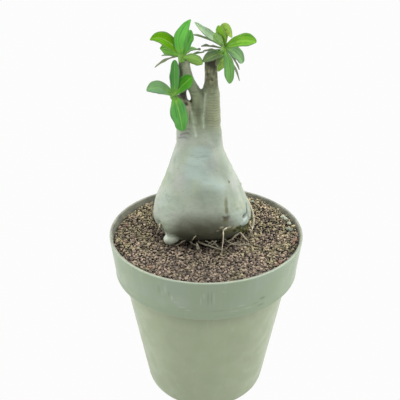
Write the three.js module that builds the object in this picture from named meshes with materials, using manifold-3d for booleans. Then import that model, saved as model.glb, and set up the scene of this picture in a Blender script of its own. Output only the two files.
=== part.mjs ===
// A desert rose (adenium) growing in a round plastic nursery pot.
// The swollen trunk stands in a hole in the grit and forks into three short stems.
// Each stem ends in a green shoot with its leaves. Millimetres, +Z up.
// The origin is the centre of the pot's flat base, and -Y is the side that is looked at.
import * as THREE from 'three';
import { mergeVertices } from 'three/addons/utils/BufferGeometryUtils.js';
import Module from 'manifold-3d';

const wasm = await Module();
wasm.setup();

// Driving dimensions of the pot
const RIM_RADIUS = 75;
const POT_HEIGHT = 143.5;
const COLLAR_HEIGHT = 32.5;
const COLLAR_FOOT_RADIUS = 71.9;
const BODY_TOP_RADIUS = 66.4;
const BASE_RADIUS = 49.5;
const BASE_CORNER = 6;
const WALL = 2.1;
const FLOOR = 3;
const BEAD = 0.4;
const BEAD_HEIGHT = 3;
const BEAD_CHAMFER = 0.8;
const FLOOR_FILLET = 3;
const SHOULDER_DROP = 1;
const DRAIN_HOLES = 8;
const DRAIN_RADIUS = 4;
const DRAIN_CIRCLE = 32;
const DRAIN_SEGMENTS = 12;
const POT_SEGMENTS = 52;
const CORNER_STEPS = 4;

// Driving dimensions of the grit: it lies lowest round the trunk and banks up towards the wall
const GRIT_LEVEL = 134.5;
const GRIT_BANK = 4.5;
const BANK_FOOT_RADIUS = 38;
const BANK_TOP_RADIUS = 71;
const BANK_TILT = 1.2;
const BANK_TILT_ANGLE = 0.6;
const GRIT_CELL = 3.6;
const GRAIN_RISE = 1.5;
const GRAIN_LEAST = 0.3;
const HOLLOW_MOST = 0.4;
const GRAIN_SHIFT = 1;
const GRIT_SEED = 41;

// Clearance left between two pieces that touch
const GAP = 0.3;

// The swollen trunk, station by station: height, centre in x, half width, depth over width
const TRUNK_CENTRE_Y = 12;
const TRUNK_STATIONS = [
  [110, 0, 9, 1],
  [122, -0.5, 17, 1],
  [134, -1.5, 25, 1],
  [141, -2.5, 33.5, 1],
  [151, -3.5, 38.7, 1],
  [163, -4, 36.1, 1],
  [176, -3.9, 30.7, 1],
  [190, -4.7, 24.5, 0.97],
  [204, -5.6, 18.9, 0.84],
  [217, -5.3, 15.3, 0.62],
  [228, -6.2, 9, 0.6],
  [238, -6.4, 5, 0.6],
];
const TRUNK_FOOT = 106;
const TRUNK_CROWN = 240;
const TRUNK_RINGS = 20;
const TRUNK_SEGMENTS = 32;

// Shallow lumps round the trunk: share of the radius, waves in a turn, twist per millimetre and start
const LUMPS = [[0.012, 3, 0.06, 0], [0.008, 5, 0, 1]];

// The trunk's foot is cut back on the side that is looked at, most of all at the grit
const UNDERCUT_TOP = 171;
const UNDERCUT_HEIGHT = 37;
const UNDERCUT_DEPTH = 9.6;
const UNDERCUT_POWER = 1.5;
const UNDERCUT_TURN = 1.5;
const UNDERCUT_SPREAD = 3.2;

// Limbs grown from the trunk: x, y, z and radius of each station
const STEMS = {
  right: [
    [0.5, 12, 198, 10.5], [3, 12, 212, 8.9], [3.9, 12, 226, 6.5], [3.4, 12, 240, 6.4],
    [2.8, 12, 249, 6.3], [3, 12, 257, 4.7], [2.5, 12, 272.2, 4.3],
  ],
  middle: [
    [-6, 13, 204, 8], [-6, 12.8, 218, 6.2], [-6.2, 12.8, 230, 5.3], [-6.4, 12.4, 241, 5.1],
    [-8.6, 12.2, 249, 4.2], [-12.4, 12, 257, 3.4], [-14.4, 12, 266, 3], [-15, 12, 271, 2.8],
  ],
  left: [
    [-13, 12, 200, 9.5], [-15.8, 11.5, 214, 6.8], [-16.5, 11.5, 226, 5.6], [-16.6, 11.5, 239, 4.6],
    [-16.8, 12, 244, 2.8], [-17.2, 12.5, 252, 2.2], [-18, 12.5, 262, 2], [-18, 12, 271, 2],
  ],
  twig: [
    [-17, 11, 241, 3.4], [-20.5, 9, 244.2, 2.9], [-23.6, 7.6, 245, 2.2],
  ],
};
const ROOTS = {
  toe: [
    [-15, 3, 143.6, 6], [-21.5, -4.5, 141.6, 5.6], [-25.6, -10.6, 140.2, 5.4],
    [-29, -13.8, 139.2, 4.8], [-31.4, -15, 138.6, 2.8], [-32.2, -15.4, 138.4, 0.8],
  ],
  right_edge: [
    [27, 14, 170, 2], [31, 14, 163, 1.9], [35.2, 14, 155.5, 1.7], [38.4, 12, 148.4, 1.5],
    [38.6, 9, 141, 1.4], [35.5, 2.5, 135.5, 1.3], [33, 0, 130, 1],
  ],
  front_right: [[15.6, -14.6, 152, 1.4], [13.6, -22.4, 146, 1], [13.2, -22.5, 140, 0.9], [12, -26, 134, 0.8]],
  front: [[-6, -2, 137.5, 2.2], [-1, -12.5, 136.8, 1.5], [5, -18, 136, 1.2], [12, -21, 134.1, 0.9]],
  side_right: [[20.6, -6.6, 146, 1.4], [26.5, -11, 141.5, 1.1], [34, -11, 134.3, 0.8]],
  low_right: [[11, -4, 138, 1.5], [20.5, -13.4, 136.6, 1.1], [35, -15.5, 134.4, 0.8]],
};
const LIMB_SIDES = 10;
const ROOT_SIDES = 6;
const THICK_ROOT = 4;

// Leaves: base, middle pull and tip as [x, y, z], blade width, the way its upper face looks,
// how far along it is widest, and how round its point is (a low number is blunt)
const LEFT_CROWN = {
  shoot: [[-17, 12, 270, 3.1], [-17.6, 11.8, 273.6, 2.6], [-17.6, 11.4, 277.5, 1.4]],
  leaves: [
    {
      base: [-17.4, 10.6, 274], pull: [-21.6, 6.5, 287], tip: [-11, 8, 298.4],
      width: 9, face: [-0.1, -1, 0.2], widest: 0.5, roundness: 0.9,
    },
    {
      base: [-16.4, 10.4, 274], pull: [-14.4, 9, 284], tip: [-10.8, 9.4, 291.4],
      width: 7.6, face: [0.1, -1, 0.3], widest: 0.6, roundness: 0.65,
    },
    {
      base: [-18, 11, 275], pull: [-29.4, 6.5, 290], tip: [-38.4, 4, 285.8],
      width: 10.2, face: [-0.2, -0.7, 0.6], widest: 0.48, roundness: 0.95,
    },
    {
      base: [-18, 12.4, 273.6], pull: [-26, 16, 278], tip: [-33, 17.5, 277.7],
      width: 9.4, face: [-0.2, -0.7, 0.6], widest: 0.55, roundness: 0.9,
    },
    {
      base: [-18, 13, 272.6], pull: [-25, 19, 273], tip: [-32.4, 24, 271.2],
      width: 7.8, face: [-0.1, 0, 1], widest: 0.6, roundness: 0.8,
    },
    {
      base: [-18, 12.6, 273.2], pull: [-26.5, 16, 272.4], tip: [-37.2, 18, 264.2],
      width: 4.8, face: [-0.3, 0.45, 0.85], widest: 0.6, roundness: 0.8,
    },
    {
      base: [-16.6, 13, 273.6], pull: [-11.5, 20, 277.5], tip: [-5.4, 26, 274.8],
      width: 8.8, face: [-0.1, -0.1, 1], widest: 0.64, roundness: 0.7,
    },
    {
      base: [-16.6, 12.6, 273], pull: [-9, 17, 273.6], tip: [-2, 20, 274.6],
      width: 7, face: [-0.2, 0.2, 0.95], widest: 0.6, roundness: 0.8,
    },
    {
      base: [-17, 10.4, 272.6], pull: [-10, 5.6, 272.6], tip: [-3, 6, 269.4],
      width: 9.4, face: [0.1, 0.85, 0.5], widest: 0.58, roundness: 0.65,
    },
  ],
};
const SIDE_SHOOT = {
  shoot: [[-23.4, 7.4, 244.8, 2], [-24.2, 6.6, 246.4, 2], [-23.6, 6.2, 248.6, 1.3]],
  leaves: [
    {
      base: [-23, 6.2, 247.4], pull: [-21.8, 3.6, 260], tip: [-22, 4.6, 272.4],
      width: 7.4, face: [-0.3, -1, 0.1], widest: 0.55, roundness: 0.5,
    },
    {
      base: [-23, 5.9, 247.4], pull: [-17.2, 2.6, 255.8], tip: [-10, 2, 261.4],
      width: 9.8, face: [-0.2, -0.9, 0.35], widest: 0.7, roundness: 0.5,
    },
    {
      base: [-24, 6.3, 247.2], pull: [-33.4, 3, 257], tip: [-42, 2, 251.6],
      width: 9.6, face: [-0.2, -0.75, 0.6], widest: 0.56, roundness: 0.75,
    },
    {
      base: [-23.4, 5.6, 246], pull: [-18.8, -3.5, 238], tip: [-16.6, -6, 225.4],
      width: 11.8, face: [0, -1, 0.3], widest: 0.55, roundness: 0.65,
    },
  ],
};
const RIGHT_CROWN = {
  shoot: [[5, 12, 268.4, 2.8], [8.4, 12, 271.6, 2.4], [11.2, 12, 276.6, 2.2], [12.4, 12, 281.6, 1.5]],
  leaves: [
    {
      base: [12.2, 11.4, 280], pull: [9.6, 6.5, 288], tip: [7.4, 6, 295],
      width: 6.8, face: [-0.3, -0.9, 0.2], widest: 0.6, roundness: 0.75,
    },
    {
      base: [12.4, 11.4, 280], pull: [10.4, 8, 301], tip: [16.6, 6.5, 287],
      width: 7.6, face: [-0.4, -0.9, -0.1], widest: 0.55, roundness: 0.7,
    },
    {
      base: [12.2, 11.2, 279.6], pull: [23, 5, 287.4], tip: [33.2, 4, 284.6],
      width: 9.4, face: [0.1, -0.8, 0.6], widest: 0.6, roundness: 0.65,
    },
    {
      base: [12, 11.6, 278.4], pull: [19.6, 9.6, 279], tip: [24.8, 10.6, 269.2],
      width: 9.4, face: [0.5, -0.75, 0.5], widest: 0.62, roundness: 0.55,
    },
    {
      base: [11.8, 11, 277.8], pull: [15.8, 3.5, 273], tip: [15.8, 4, 256.4],
      width: 7.2, face: [0.15, -1, 0.25], widest: 0.68, roundness: 0.6,
    },
    {
      base: [11.8, 12.6, 277.8], pull: [16, 19, 276], tip: [23.2, 21, 262],
      width: 6.4, face: [0.85, 0.15, 0.5], widest: 0.6, roundness: 0.8,
    },
    {
      base: [11.6, 12.2, 277], pull: [17, 15.5, 271], tip: [23.4, 17, 255],
      width: 5, face: [0.9, 0.3, 0.4], widest: 0.6, roundness: 0.8,
    },
    {
      base: [12, 12.4, 280], pull: [2, 16, 287], tip: [-8.6, 20, 295],
      width: 6, face: [-0.55, -0.25, 0.75], widest: 0.5, roundness: 0.9,
    },
    {
      base: [12, 11.2, 280], pull: [8.6, 7.5, 285], tip: [4.6, 6.5, 290],
      width: 6.6, face: [-0.6, -0.5, 0.6], widest: 0.6, roundness: 0.75,
    },
    {
      base: [11.8, 12.6, 279], pull: [2, 17, 284.6], tip: [-10.6, 21, 286.4],
      width: 5.4, face: [-0.1, 0.4, 0.9], widest: 0.6, roundness: 0.8,
    },
    {
      base: [11.6, 12.8, 278.4], pull: [3.4, 19, 279.2], tip: [-4, 23, 278],
      width: 6.4, face: [-0.1, 0.3, 0.9], widest: 0.64, roundness: 0.7,
    },
    {
      base: [11.4, 12, 277.6], pull: [4, 15, 276.6], tip: [-2.8, 17, 275.8],
      width: 6.2, face: [0, 0.3, 0.9], widest: 0.6, roundness: 0.8,
    },
    {
      base: [11, 11, 275.6], pull: [4.6, 4.5, 275.8], tip: [-3, 3, 271.6],
      width: 9, face: [-0.25, -0.6, 0.75], widest: 0.5, roundness: 0.7,
    },
    {
      base: [10.2, 12.8, 274.6], pull: [11.8, 20, 271.5], tip: [8, 22, 260.6],
      width: 6.8, face: [0.4, 0.9, 0.2], widest: 0.6, roundness: 0.7,
    },
  ],
};
const LEAF_THICKNESS = 0.7;
const LEAF_STALK = 0.16;
const STALK_TAPER = 0.6;
const LEAF_FOLD = 0.3;
const LEAF_WAVE = 0.35;
const LEAF_WAVES = 2.5;
const LEAF_WAVE_STEP = 0.37;
const LEAF_COLUMNS = 4;
const LEAF_ROWS = 6;

// Welds a closed geometry's vertices by position and drops triangles that have no area
function welded(geometry) {
  const bare = new THREE.BufferGeometry();
  bare.setAttribute('position', geometry.getAttribute('position'));
  bare.setIndex(geometry.getIndex());
  const merged = mergeVertices(bare, 1e-3);
  const corners = Array.from(merged.getIndex().array);
  const kept = [];
  for (let i = 0; i < corners.length; i += 3) {
    const [a, b, c] = corners.slice(i, i + 3);
    if (a !== b && b !== c && c !== a) kept.push(a, b, c);
  }
  merged.setIndex(kept);
  return merged;
}

function solidFrom(geometry) {
  const closed = welded(geometry);
  const vertProperties = Float32Array.from(closed.getAttribute('position').array);
  const triVerts = Uint32Array.from(closed.getIndex().array);
  return new wasm.Manifold(new wasm.Mesh({ numProp: 3, vertProperties, triVerts }));
}

function geometryFrom(solid) {
  const mesh = solid.getMesh();
  const geometry = new THREE.BufferGeometry();
  geometry.setAttribute('position', new THREE.BufferAttribute(Float32Array.from(mesh.vertProperties), 3));
  geometry.setIndex(Array.from(mesh.triVerts));
  geometry.computeVertexNormals();
  return geometry;
}

// A join can leave a loose scrap beside the main body, and only the body is kept
function largestBody(solid) {
  return solid.decompose().reduce((best, body) => (body.volume() > best.volume() ? body : best));
}

function joined(solids) {
  return solids.reduce((whole, solid) => whole.add(solid));
}

// Random numbers from 0 to 1 that come out alike on every run
function seededRandom(seed) {
  let state = seed;
  return () => {
    state = (state * 1664525 + 1013904223) % 4294967296;
    return state / 4294967296;
  };
}

// A profile of [radius, height] points turned round the Z axis
function turned(profile, segments) {
  const points = profile.map(([radius, height]) => new THREE.Vector2(radius, height));
  const geometry = new THREE.LatheGeometry(points, segments);
  geometry.rotateX(Math.PI / 2);
  return geometry;
}

// The pot's wall leans outwards, in two runs: below the collar and in the collar
function wallRadius(height) {
  const collarFoot = POT_HEIGHT - COLLAR_HEIGHT;
  if (height < collarFoot) {
    return THREE.MathUtils.mapLinear(height, BASE_CORNER, collarFoot, BASE_RADIUS, BODY_TOP_RADIUS);
  }
  return THREE.MathUtils.mapLinear(height, collarFoot, POT_HEIGHT, COLLAR_FOOT_RADIUS, RIM_RADIUS);
}

function cornerArc(centreRadius, centreHeight, radius, startAngle, endAngle, steps) {
  const points = [];
  for (let i = 0; i <= steps; i += 1) {
    const angle = THREE.MathUtils.lerp(startAngle, endAngle, i / steps);
    points.push([centreRadius + radius * Math.cos(angle), centreHeight + radius * Math.sin(angle)]);
  }
  return points;
}

function makePot() {
  const collarFoot = POT_HEIGHT - COLLAR_HEIGHT;
  const beadTop = collarFoot + BEAD_HEIGHT;
  const beadRadius = COLLAR_FOOT_RADIUS + BEAD;
  const inside = BASE_RADIUS - WALL;
  const lip = WALL / 2;
  const profile = [
    [0, 0],
    ...cornerArc(BASE_RADIUS - BASE_CORNER, BASE_CORNER, BASE_CORNER, -Math.PI / 2, 0, CORNER_STEPS),
    [BODY_TOP_RADIUS, collarFoot],
    [beadRadius - BEAD_CHAMFER, collarFoot],
    [beadRadius, collarFoot + BEAD_CHAMFER],
    [beadRadius, beadTop],
    [wallRadius(beadTop), beadTop + BEAD],
    ...cornerArc(RIM_RADIUS - lip, POT_HEIGHT - lip, lip, 0, Math.PI, CORNER_STEPS),
    [COLLAR_FOOT_RADIUS - WALL, collarFoot + WALL],
    [BODY_TOP_RADIUS - WALL, collarFoot - SHOULDER_DROP],
    [inside, FLOOR + FLOOR_FILLET],
    [inside - FLOOR_FILLET, FLOOR],
    [0, FLOOR],
  ];
  let pot = solidFrom(turned(profile, POT_SEGMENTS));
  for (let i = 0; i < DRAIN_HOLES; i += 1) {
    const angle = (i / DRAIN_HOLES) * 2 * Math.PI;
    const drill = new THREE.CylinderGeometry(DRAIN_RADIUS, DRAIN_RADIUS, 4 * FLOOR, DRAIN_SEGMENTS);
    drill.rotateX(Math.PI / 2);
    drill.translate(DRAIN_CIRCLE * Math.cos(angle), DRAIN_CIRCLE * Math.sin(angle), 0);
    pot = pot.subtract(solidFrom(drill));
  }
  return pot;
}

// How high the grit lies above its lowest level at a place
function gritBank(x, y) {
  const share = THREE.MathUtils.smoothstep(Math.hypot(x, y), BANK_FOOT_RADIUS, BANK_TOP_RADIUS);
  const tilt = BANK_TILT * Math.cos(Math.atan2(y, x) - BANK_TILT_ANGLE);
  return share * (GRIT_BANK + tilt);
}

// The grit's upper face is a grid of grains: each grain is a raised point between low ones
function gritTop() {
  const span = 2 * (RIM_RADIUS + 2 * GRIT_CELL);
  const cells = 2 * Math.round(span / GRIT_CELL / 2);
  const block = welded(new THREE.BoxGeometry(span, span, POT_HEIGHT, cells, cells, 1));
  const random = seededRandom(GRIT_SEED);
  const positions = block.getAttribute('position');
  for (let i = 0; i < positions.count; i += 1) {
    const column = Math.round((positions.getX(i) / span + 0.5) * cells);
    const row = Math.round((positions.getY(i) / span + 0.5) * cells);
    const onTop = positions.getZ(i) > 0;
    const isGrain = (column + row) % 2 === 1;
    const draw = random();
    const rise = isGrain ? THREE.MathUtils.lerp(GRAIN_LEAST, 1, draw) : -HOLLOW_MOST * draw;
    const level = GRIT_LEVEL + gritBank(positions.getX(i), positions.getY(i));
    const shift = onTop ? GRAIN_SHIFT : 0;
    positions.setX(i, positions.getX(i) + shift * (2 * random() - 1));
    positions.setY(i, positions.getY(i) + shift * (2 * random() - 1));
    positions.setZ(i, onTop ? level + GRAIN_RISE * rise : -POT_HEIGHT);
  }
  return solidFrom(block);
}

function makeGrit() {
  const collarFoot = POT_HEIGHT - COLLAR_HEIGHT;
  const inside = WALL + GAP;
  const profile = [
    [0, FLOOR + GAP],
    [BASE_RADIUS - inside - FLOOR_FILLET, FLOOR + GAP],
    [BASE_RADIUS - inside, FLOOR + FLOOR_FILLET],
    [BODY_TOP_RADIUS - inside, collarFoot - SHOULDER_DROP],
    [COLLAR_FOOT_RADIUS - inside, collarFoot + WALL + GAP],
    [RIM_RADIUS - inside, POT_HEIGHT],
    [0, POT_HEIGHT],
  ];
  const filling = solidFrom(turned(profile, POT_SEGMENTS));
  return filling.intersect(gritTop()).subtract(makeTrunk(GAP));
}

// Reads one column of the trunk's stations at a height, along a smooth curve
function trunkCurve(column) {
  const points = TRUNK_STATIONS.map((station) => new THREE.Vector2(station[0], station[column]));
  return new THREE.SplineCurve(points);
}

function lumpAt(angle, height) {
  return LUMPS.reduce((sum, [size, waves, twist, start]) => (
    sum + size * Math.sin(waves * angle + twist * height + start)
  ), 1);
}

function undercut(angle, height) {
  const facing = Math.max(Math.cos(angle + UNDERCUT_TURN), 0);
  const drop = THREE.MathUtils.clamp((UNDERCUT_TOP - height) / UNDERCUT_HEIGHT, 0, 1);
  return UNDERCUT_DEPTH * facing ** UNDERCUT_SPREAD * drop ** UNDERCUT_POWER;
}

// A body of rings, wide and round at the soil and flattened towards the fork
function trunkBody(grow) {
  const centre = trunkCurve(1);
  const halfWidth = trunkCurve(2);
  const depth = trunkCurve(3);
  const profile = [[0, TRUNK_FOOT - grow]];
  for (let i = 0; i <= TRUNK_RINGS; i += 1) {
    const point = halfWidth.getPoint(i / TRUNK_RINGS);
    profile.push([point.y + grow, point.x]);
  }
  profile.push([0, TRUNK_CROWN + grow]);
  const body = turned(profile, TRUNK_SEGMENTS);
  const positions = body.getAttribute('position');
  const lowest = TRUNK_STATIONS[0][0];
  const highest = TRUNK_STATIONS.at(-1)[0];
  for (let i = 0; i < positions.count; i += 1) {
    const height = THREE.MathUtils.clamp(positions.getZ(i), lowest, highest);
    const share = shareAtHeight(halfWidth, height);
    const angle = Math.atan2(positions.getY(i), positions.getX(i));
    const radius = Math.hypot(positions.getX(i), positions.getY(i));
    const reach = Math.max(radius * lumpAt(angle, height) - undercut(angle, height), 0);
    positions.setX(i, reach * Math.cos(angle) + centre.getPoint(share).y);
    positions.setY(i, reach * Math.sin(angle) * depth.getPoint(share).y + TRUNK_CENTRE_Y);
  }
  return solidFrom(body);
}

// Finds how far along a curve of stations a height lies, by halving
function shareAtHeight(curve, height) {
  let low = 0;
  let high = 1;
  for (let i = 0; i < 24; i += 1) {
    const middle = (low + high) / 2;
    if (curve.getPoint(middle).x < height) low = middle;
    else high = middle;
  }
  return (low + high) / 2;
}

// A round limb that follows its stations, with a radius of its own at each one
function limb(stations, sides, grow) {
  const path = new THREE.CatmullRomCurve3(stations.map(([x, y, z]) => new THREE.Vector3(x, y, z)));
  const steps = 2 * (stations.length - 1);
  const frames = path.computeFrenetFrames(steps);
  const geometry = new THREE.CylinderGeometry(1, 1, 1, sides, steps);
  const positions = geometry.getAttribute('position');
  for (let i = 0; i < positions.count; i += 1) {
    const share = positions.getY(i) + 0.5;
    const ring = Math.round(share * steps);
    const along = path.getUtoTmapping(share) * (stations.length - 1);
    const station = Math.min(Math.floor(along), stations.length - 2);
    const [from, to] = [stations[station][3], stations[station + 1][3]];
    const radius = THREE.MathUtils.lerp(from, to, along - station) + grow;
    const point = path.getPointAt(share);
    point.addScaledVector(frames.normals[ring], radius * positions.getX(i));
    point.addScaledVector(frames.binormals[ring], -radius * positions.getZ(i));
    if (ring === 0) point.addScaledVector(frames.tangents[ring], -grow);
    if (ring === steps) point.addScaledVector(frames.tangents[ring], grow);
    positions.setXYZ(i, point.x, point.y, point.z);
  }
  return solidFrom(geometry);
}

// The trunk, its stems and its surface roots grew as one piece
function makeTrunk(grow) {
  const stems = Object.values(STEMS).map((stations) => limb(stations, LIMB_SIDES, grow));
  const roots = Object.values(ROOTS).map((stations) => limb(stations, rootSides(stations), grow));
  return largestBody(joined([trunkBody(grow), ...stems, ...roots]));
}

function rootSides(stations) {
  return stations[0][3] > THICK_ROOT ? LIMB_SIDES : ROOT_SIDES;
}

// Half the blade's width at a share of its length, from a thin stalk to its point
function leafHalfWidth({ width, widest, roundness }, share) {
  const swell = Math.log(0.5) / Math.log(widest);
  const blade = Math.sin(Math.PI * share ** swell) ** roundness;
  const stalk = LEAF_STALK * (1 - STALK_TAPER * share);
  return (width / 2) * (stalk + (1 - stalk) * Math.max(blade, 0));
}

// A folded, arched and wavy blade: an upper sheet, a lower sheet and the edge between them
function leaf(form, number) {
  const { base, pull, tip, face } = form;
  const midrib = new THREE.QuadraticBezierCurve3(
    new THREE.Vector3(...base),
    new THREE.Vector3(...pull),
    new THREE.Vector3(...tip),
  );
  const facing = new THREE.Vector3(...face).normalize();
  const sheet = new THREE.PlaneGeometry(2, 1, LEAF_COLUMNS, LEAF_ROWS);
  const grid = sheet.getAttribute('position');
  const count = grid.count;
  const points = [];
  for (const side of [1, -1]) {
    for (let i = 0; i < count; i += 1) {
      const share = grid.getY(i) + 0.5;
      const across = grid.getX(i);
      const along = midrib.getTangent(share);
      const sideways = new THREE.Vector3().crossVectors(along, facing).normalize();
      const upwards = new THREE.Vector3().crossVectors(sideways, along).normalize();
      const reach = leafHalfWidth(form, share);
      const turns = LEAF_WAVES * share + LEAF_WAVE_STEP * number;
      const swing = Math.sin(2 * Math.PI * turns + Math.sign(across));
      const wave = LEAF_WAVE * swing * across ** 2 * Math.sin(Math.PI * share);
      const lift = LEAF_FOLD * Math.abs(across) * reach + wave + (side * LEAF_THICKNESS) / 2;
      const point = midrib.getPoint(share);
      point.addScaledVector(sideways, across * reach);
      point.addScaledVector(upwards, lift);
      points.push(point.x, point.y, point.z);
    }
  }
  const upper = Array.from(sheet.getIndex().array);
  const corners = [...upper];
  for (let i = 0; i < upper.length; i += 3) {
    corners.push(upper[i] + count, upper[i + 2] + count, upper[i + 1] + count);
  }
  const border = sheetBorder();
  border.forEach((corner, i) => {
    const next = border[(i + 1) % border.length];
    corners.push(corner, corner + count, next, next, corner + count, next + count);
  });
  const geometry = new THREE.BufferGeometry();
  geometry.setAttribute('position', new THREE.Float32BufferAttribute(points, 3));
  geometry.setIndex(corners);
  return solidFrom(geometry);
}

// The sheet's outer vertices in order, against the clock as seen from its upper face
function sheetBorder() {
  const rowLength = LEAF_COLUMNS + 1;
  const lastRow = LEAF_ROWS * rowLength;
  const border = [];
  for (let row = 0; row < LEAF_ROWS; row += 1) border.push(row * rowLength);
  for (let column = 0; column < LEAF_COLUMNS; column += 1) border.push(lastRow + column);
  for (let row = LEAF_ROWS; row > 0; row -= 1) border.push(row * rowLength + LEAF_COLUMNS);
  for (let column = LEAF_COLUMNS; column > 0; column -= 1) border.push(column);
  return border;
}

// A green shoot with its leaves, cut clear of the stem that it grows from
function makeCrown({ shoot, leaves }) {
  const tip = limb(shoot, ROOT_SIDES, 0);
  const crown = joined([tip, ...leaves.map(leaf)]);
  return largestBody(crown.subtract(makeTrunk(GAP)));
}

function namedMesh(name, solid, color, roughness) {
  const material = new THREE.MeshStandardMaterial({ color, roughness, metalness: 0 });
  const mesh = new THREE.Mesh(geometryFrom(solid), material);
  mesh.name = name;
  return mesh;
}

const plant = new THREE.Group();
plant.add(namedMesh('pot', makePot(), 0x8b9a80, 0.6));
plant.add(namedMesh('grit', makeGrit(), 0x6f5f50, 0.95));
plant.add(namedMesh('trunk', makeTrunk(0), 0x9aa492, 0.6));
plant.add(namedMesh('crown_left', makeCrown(LEFT_CROWN), 0x5fa42d, 0.45));
plant.add(namedMesh('crown_right', makeCrown(RIGHT_CROWN), 0x66a832, 0.45));
plant.add(namedMesh('crown_side', makeCrown(SIDE_SHOOT), 0x4f9a2e, 0.45));

export default plant;
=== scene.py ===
"""A desert rose (adenium) growing in a round plastic nursery pot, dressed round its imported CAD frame.

Tables of places are in millimetres. +Z is up, -Y is the side that is looked at, and the origin is
the centre of the pot's flat base.
"""

import math
import random

import bmesh
import bpy
import numpy as np
from mathutils import Matrix, Vector, noise


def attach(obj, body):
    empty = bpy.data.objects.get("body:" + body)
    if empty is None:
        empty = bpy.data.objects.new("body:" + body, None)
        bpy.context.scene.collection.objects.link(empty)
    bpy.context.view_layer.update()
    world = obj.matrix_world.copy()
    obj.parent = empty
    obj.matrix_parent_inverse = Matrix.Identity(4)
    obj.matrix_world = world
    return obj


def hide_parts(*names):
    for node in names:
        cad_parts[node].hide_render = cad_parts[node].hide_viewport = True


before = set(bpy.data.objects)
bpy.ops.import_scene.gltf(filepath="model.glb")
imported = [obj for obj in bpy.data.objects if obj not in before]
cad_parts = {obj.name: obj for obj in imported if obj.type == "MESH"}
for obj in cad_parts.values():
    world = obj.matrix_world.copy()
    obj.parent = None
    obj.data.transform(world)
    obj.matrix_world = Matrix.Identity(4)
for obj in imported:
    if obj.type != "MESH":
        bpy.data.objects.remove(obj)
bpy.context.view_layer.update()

bl_info = {
    "name": "Desert rose in a nursery pot",
    "version": (1, 0, 0),
    "blender": (4, 5, 0),
    "location": "3D View > Sidebar > Desert rose",
    "description": "Builds the pot, grit, trunk, roots and leafy shoots of a potted desert rose",
    "category": "Add Mesh",
}

MM = 0.001
TRUNK_CENTRE_Y = 12.0

# The swollen trunk, station by station: height, centre in x, half width, depth over width
TRUNK_STATIONS = [
    (110, 0, 9, 1), (122, -0.5, 17, 1), (134, -1.5, 25, 1), (141, -2.5, 33.5, 1),
    (151, -3.5, 38.7, 1), (163, -4, 36.1, 1), (176, -3.9, 30.7, 1), (190, -4.7, 24.5, 0.97),
    (204, -5.6, 18.9, 0.84), (217, -5.3, 15.3, 0.62), (228, -6.2, 9, 0.6), (238, -6.4, 5, 0.6),
]

# Shallow lumps round the trunk: share of the radius, waves in a turn, twist per millimetre and start
LUMPS = [(0.012, 3, 0.06, 0), (0.008, 5, 0, 1)]

# The trunk's foot is cut back on the side that is looked at, most of all at the grit
UNDERCUT_TOP = 171
UNDERCUT_HEIGHT = 37
UNDERCUT_DEPTH = 9.6
UNDERCUT_POWER = 1.5
UNDERCUT_TURN = 1.5
UNDERCUT_SPREAD = 3.2

# Limbs that grow out of the trunk's body: x, y, z and radius of each station
LIMBS = {
    "right": [(0.5, 12, 198, 10.5), (3, 12, 212, 8.9), (3.9, 12, 226, 6.5), (3.4, 12, 240, 6.4),
              (2.8, 12, 249, 6.3), (3, 12, 257, 4.7), (2.5, 12, 272.2, 4.3)],
    "middle": [(-6, 13, 204, 8), (-6, 12.8, 218, 6.2), (-6.2, 12.8, 230, 5.3), (-6.4, 12.4, 241, 5.1),
               (-8.6, 12.2, 249, 4.2), (-12.4, 12, 257, 3.4), (-14.4, 12, 266, 3), (-15, 12, 271, 2.8)],
    "left": [(-13, 12, 200, 9.5), (-15.8, 11.5, 214, 6.8), (-16.5, 11.5, 226, 5.6),
             (-16.6, 11.5, 239, 4.6), (-16.8, 12, 244, 2.8), (-17.2, 12.5, 252, 2.2), (-18, 12.5, 262, 2),
             (-18, 13, 271, 2)],
    "twig": [(-17, 11, 241, 3.4), (-20.5, 9, 244.2, 2.9), (-23.6, 7.6, 245, 2.2)],
    "toe": [(-15, 3, 144, 6), (-21.5, -4.5, 142.4, 5.4), (-25.2, -10.6, 141.4, 5.1),
            (-28.6, -13.8, 140.8, 4.4), (-31, -15, 140.4, 2.7), (-31.9, -15.4, 140.2, 0.8)],
}

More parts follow.
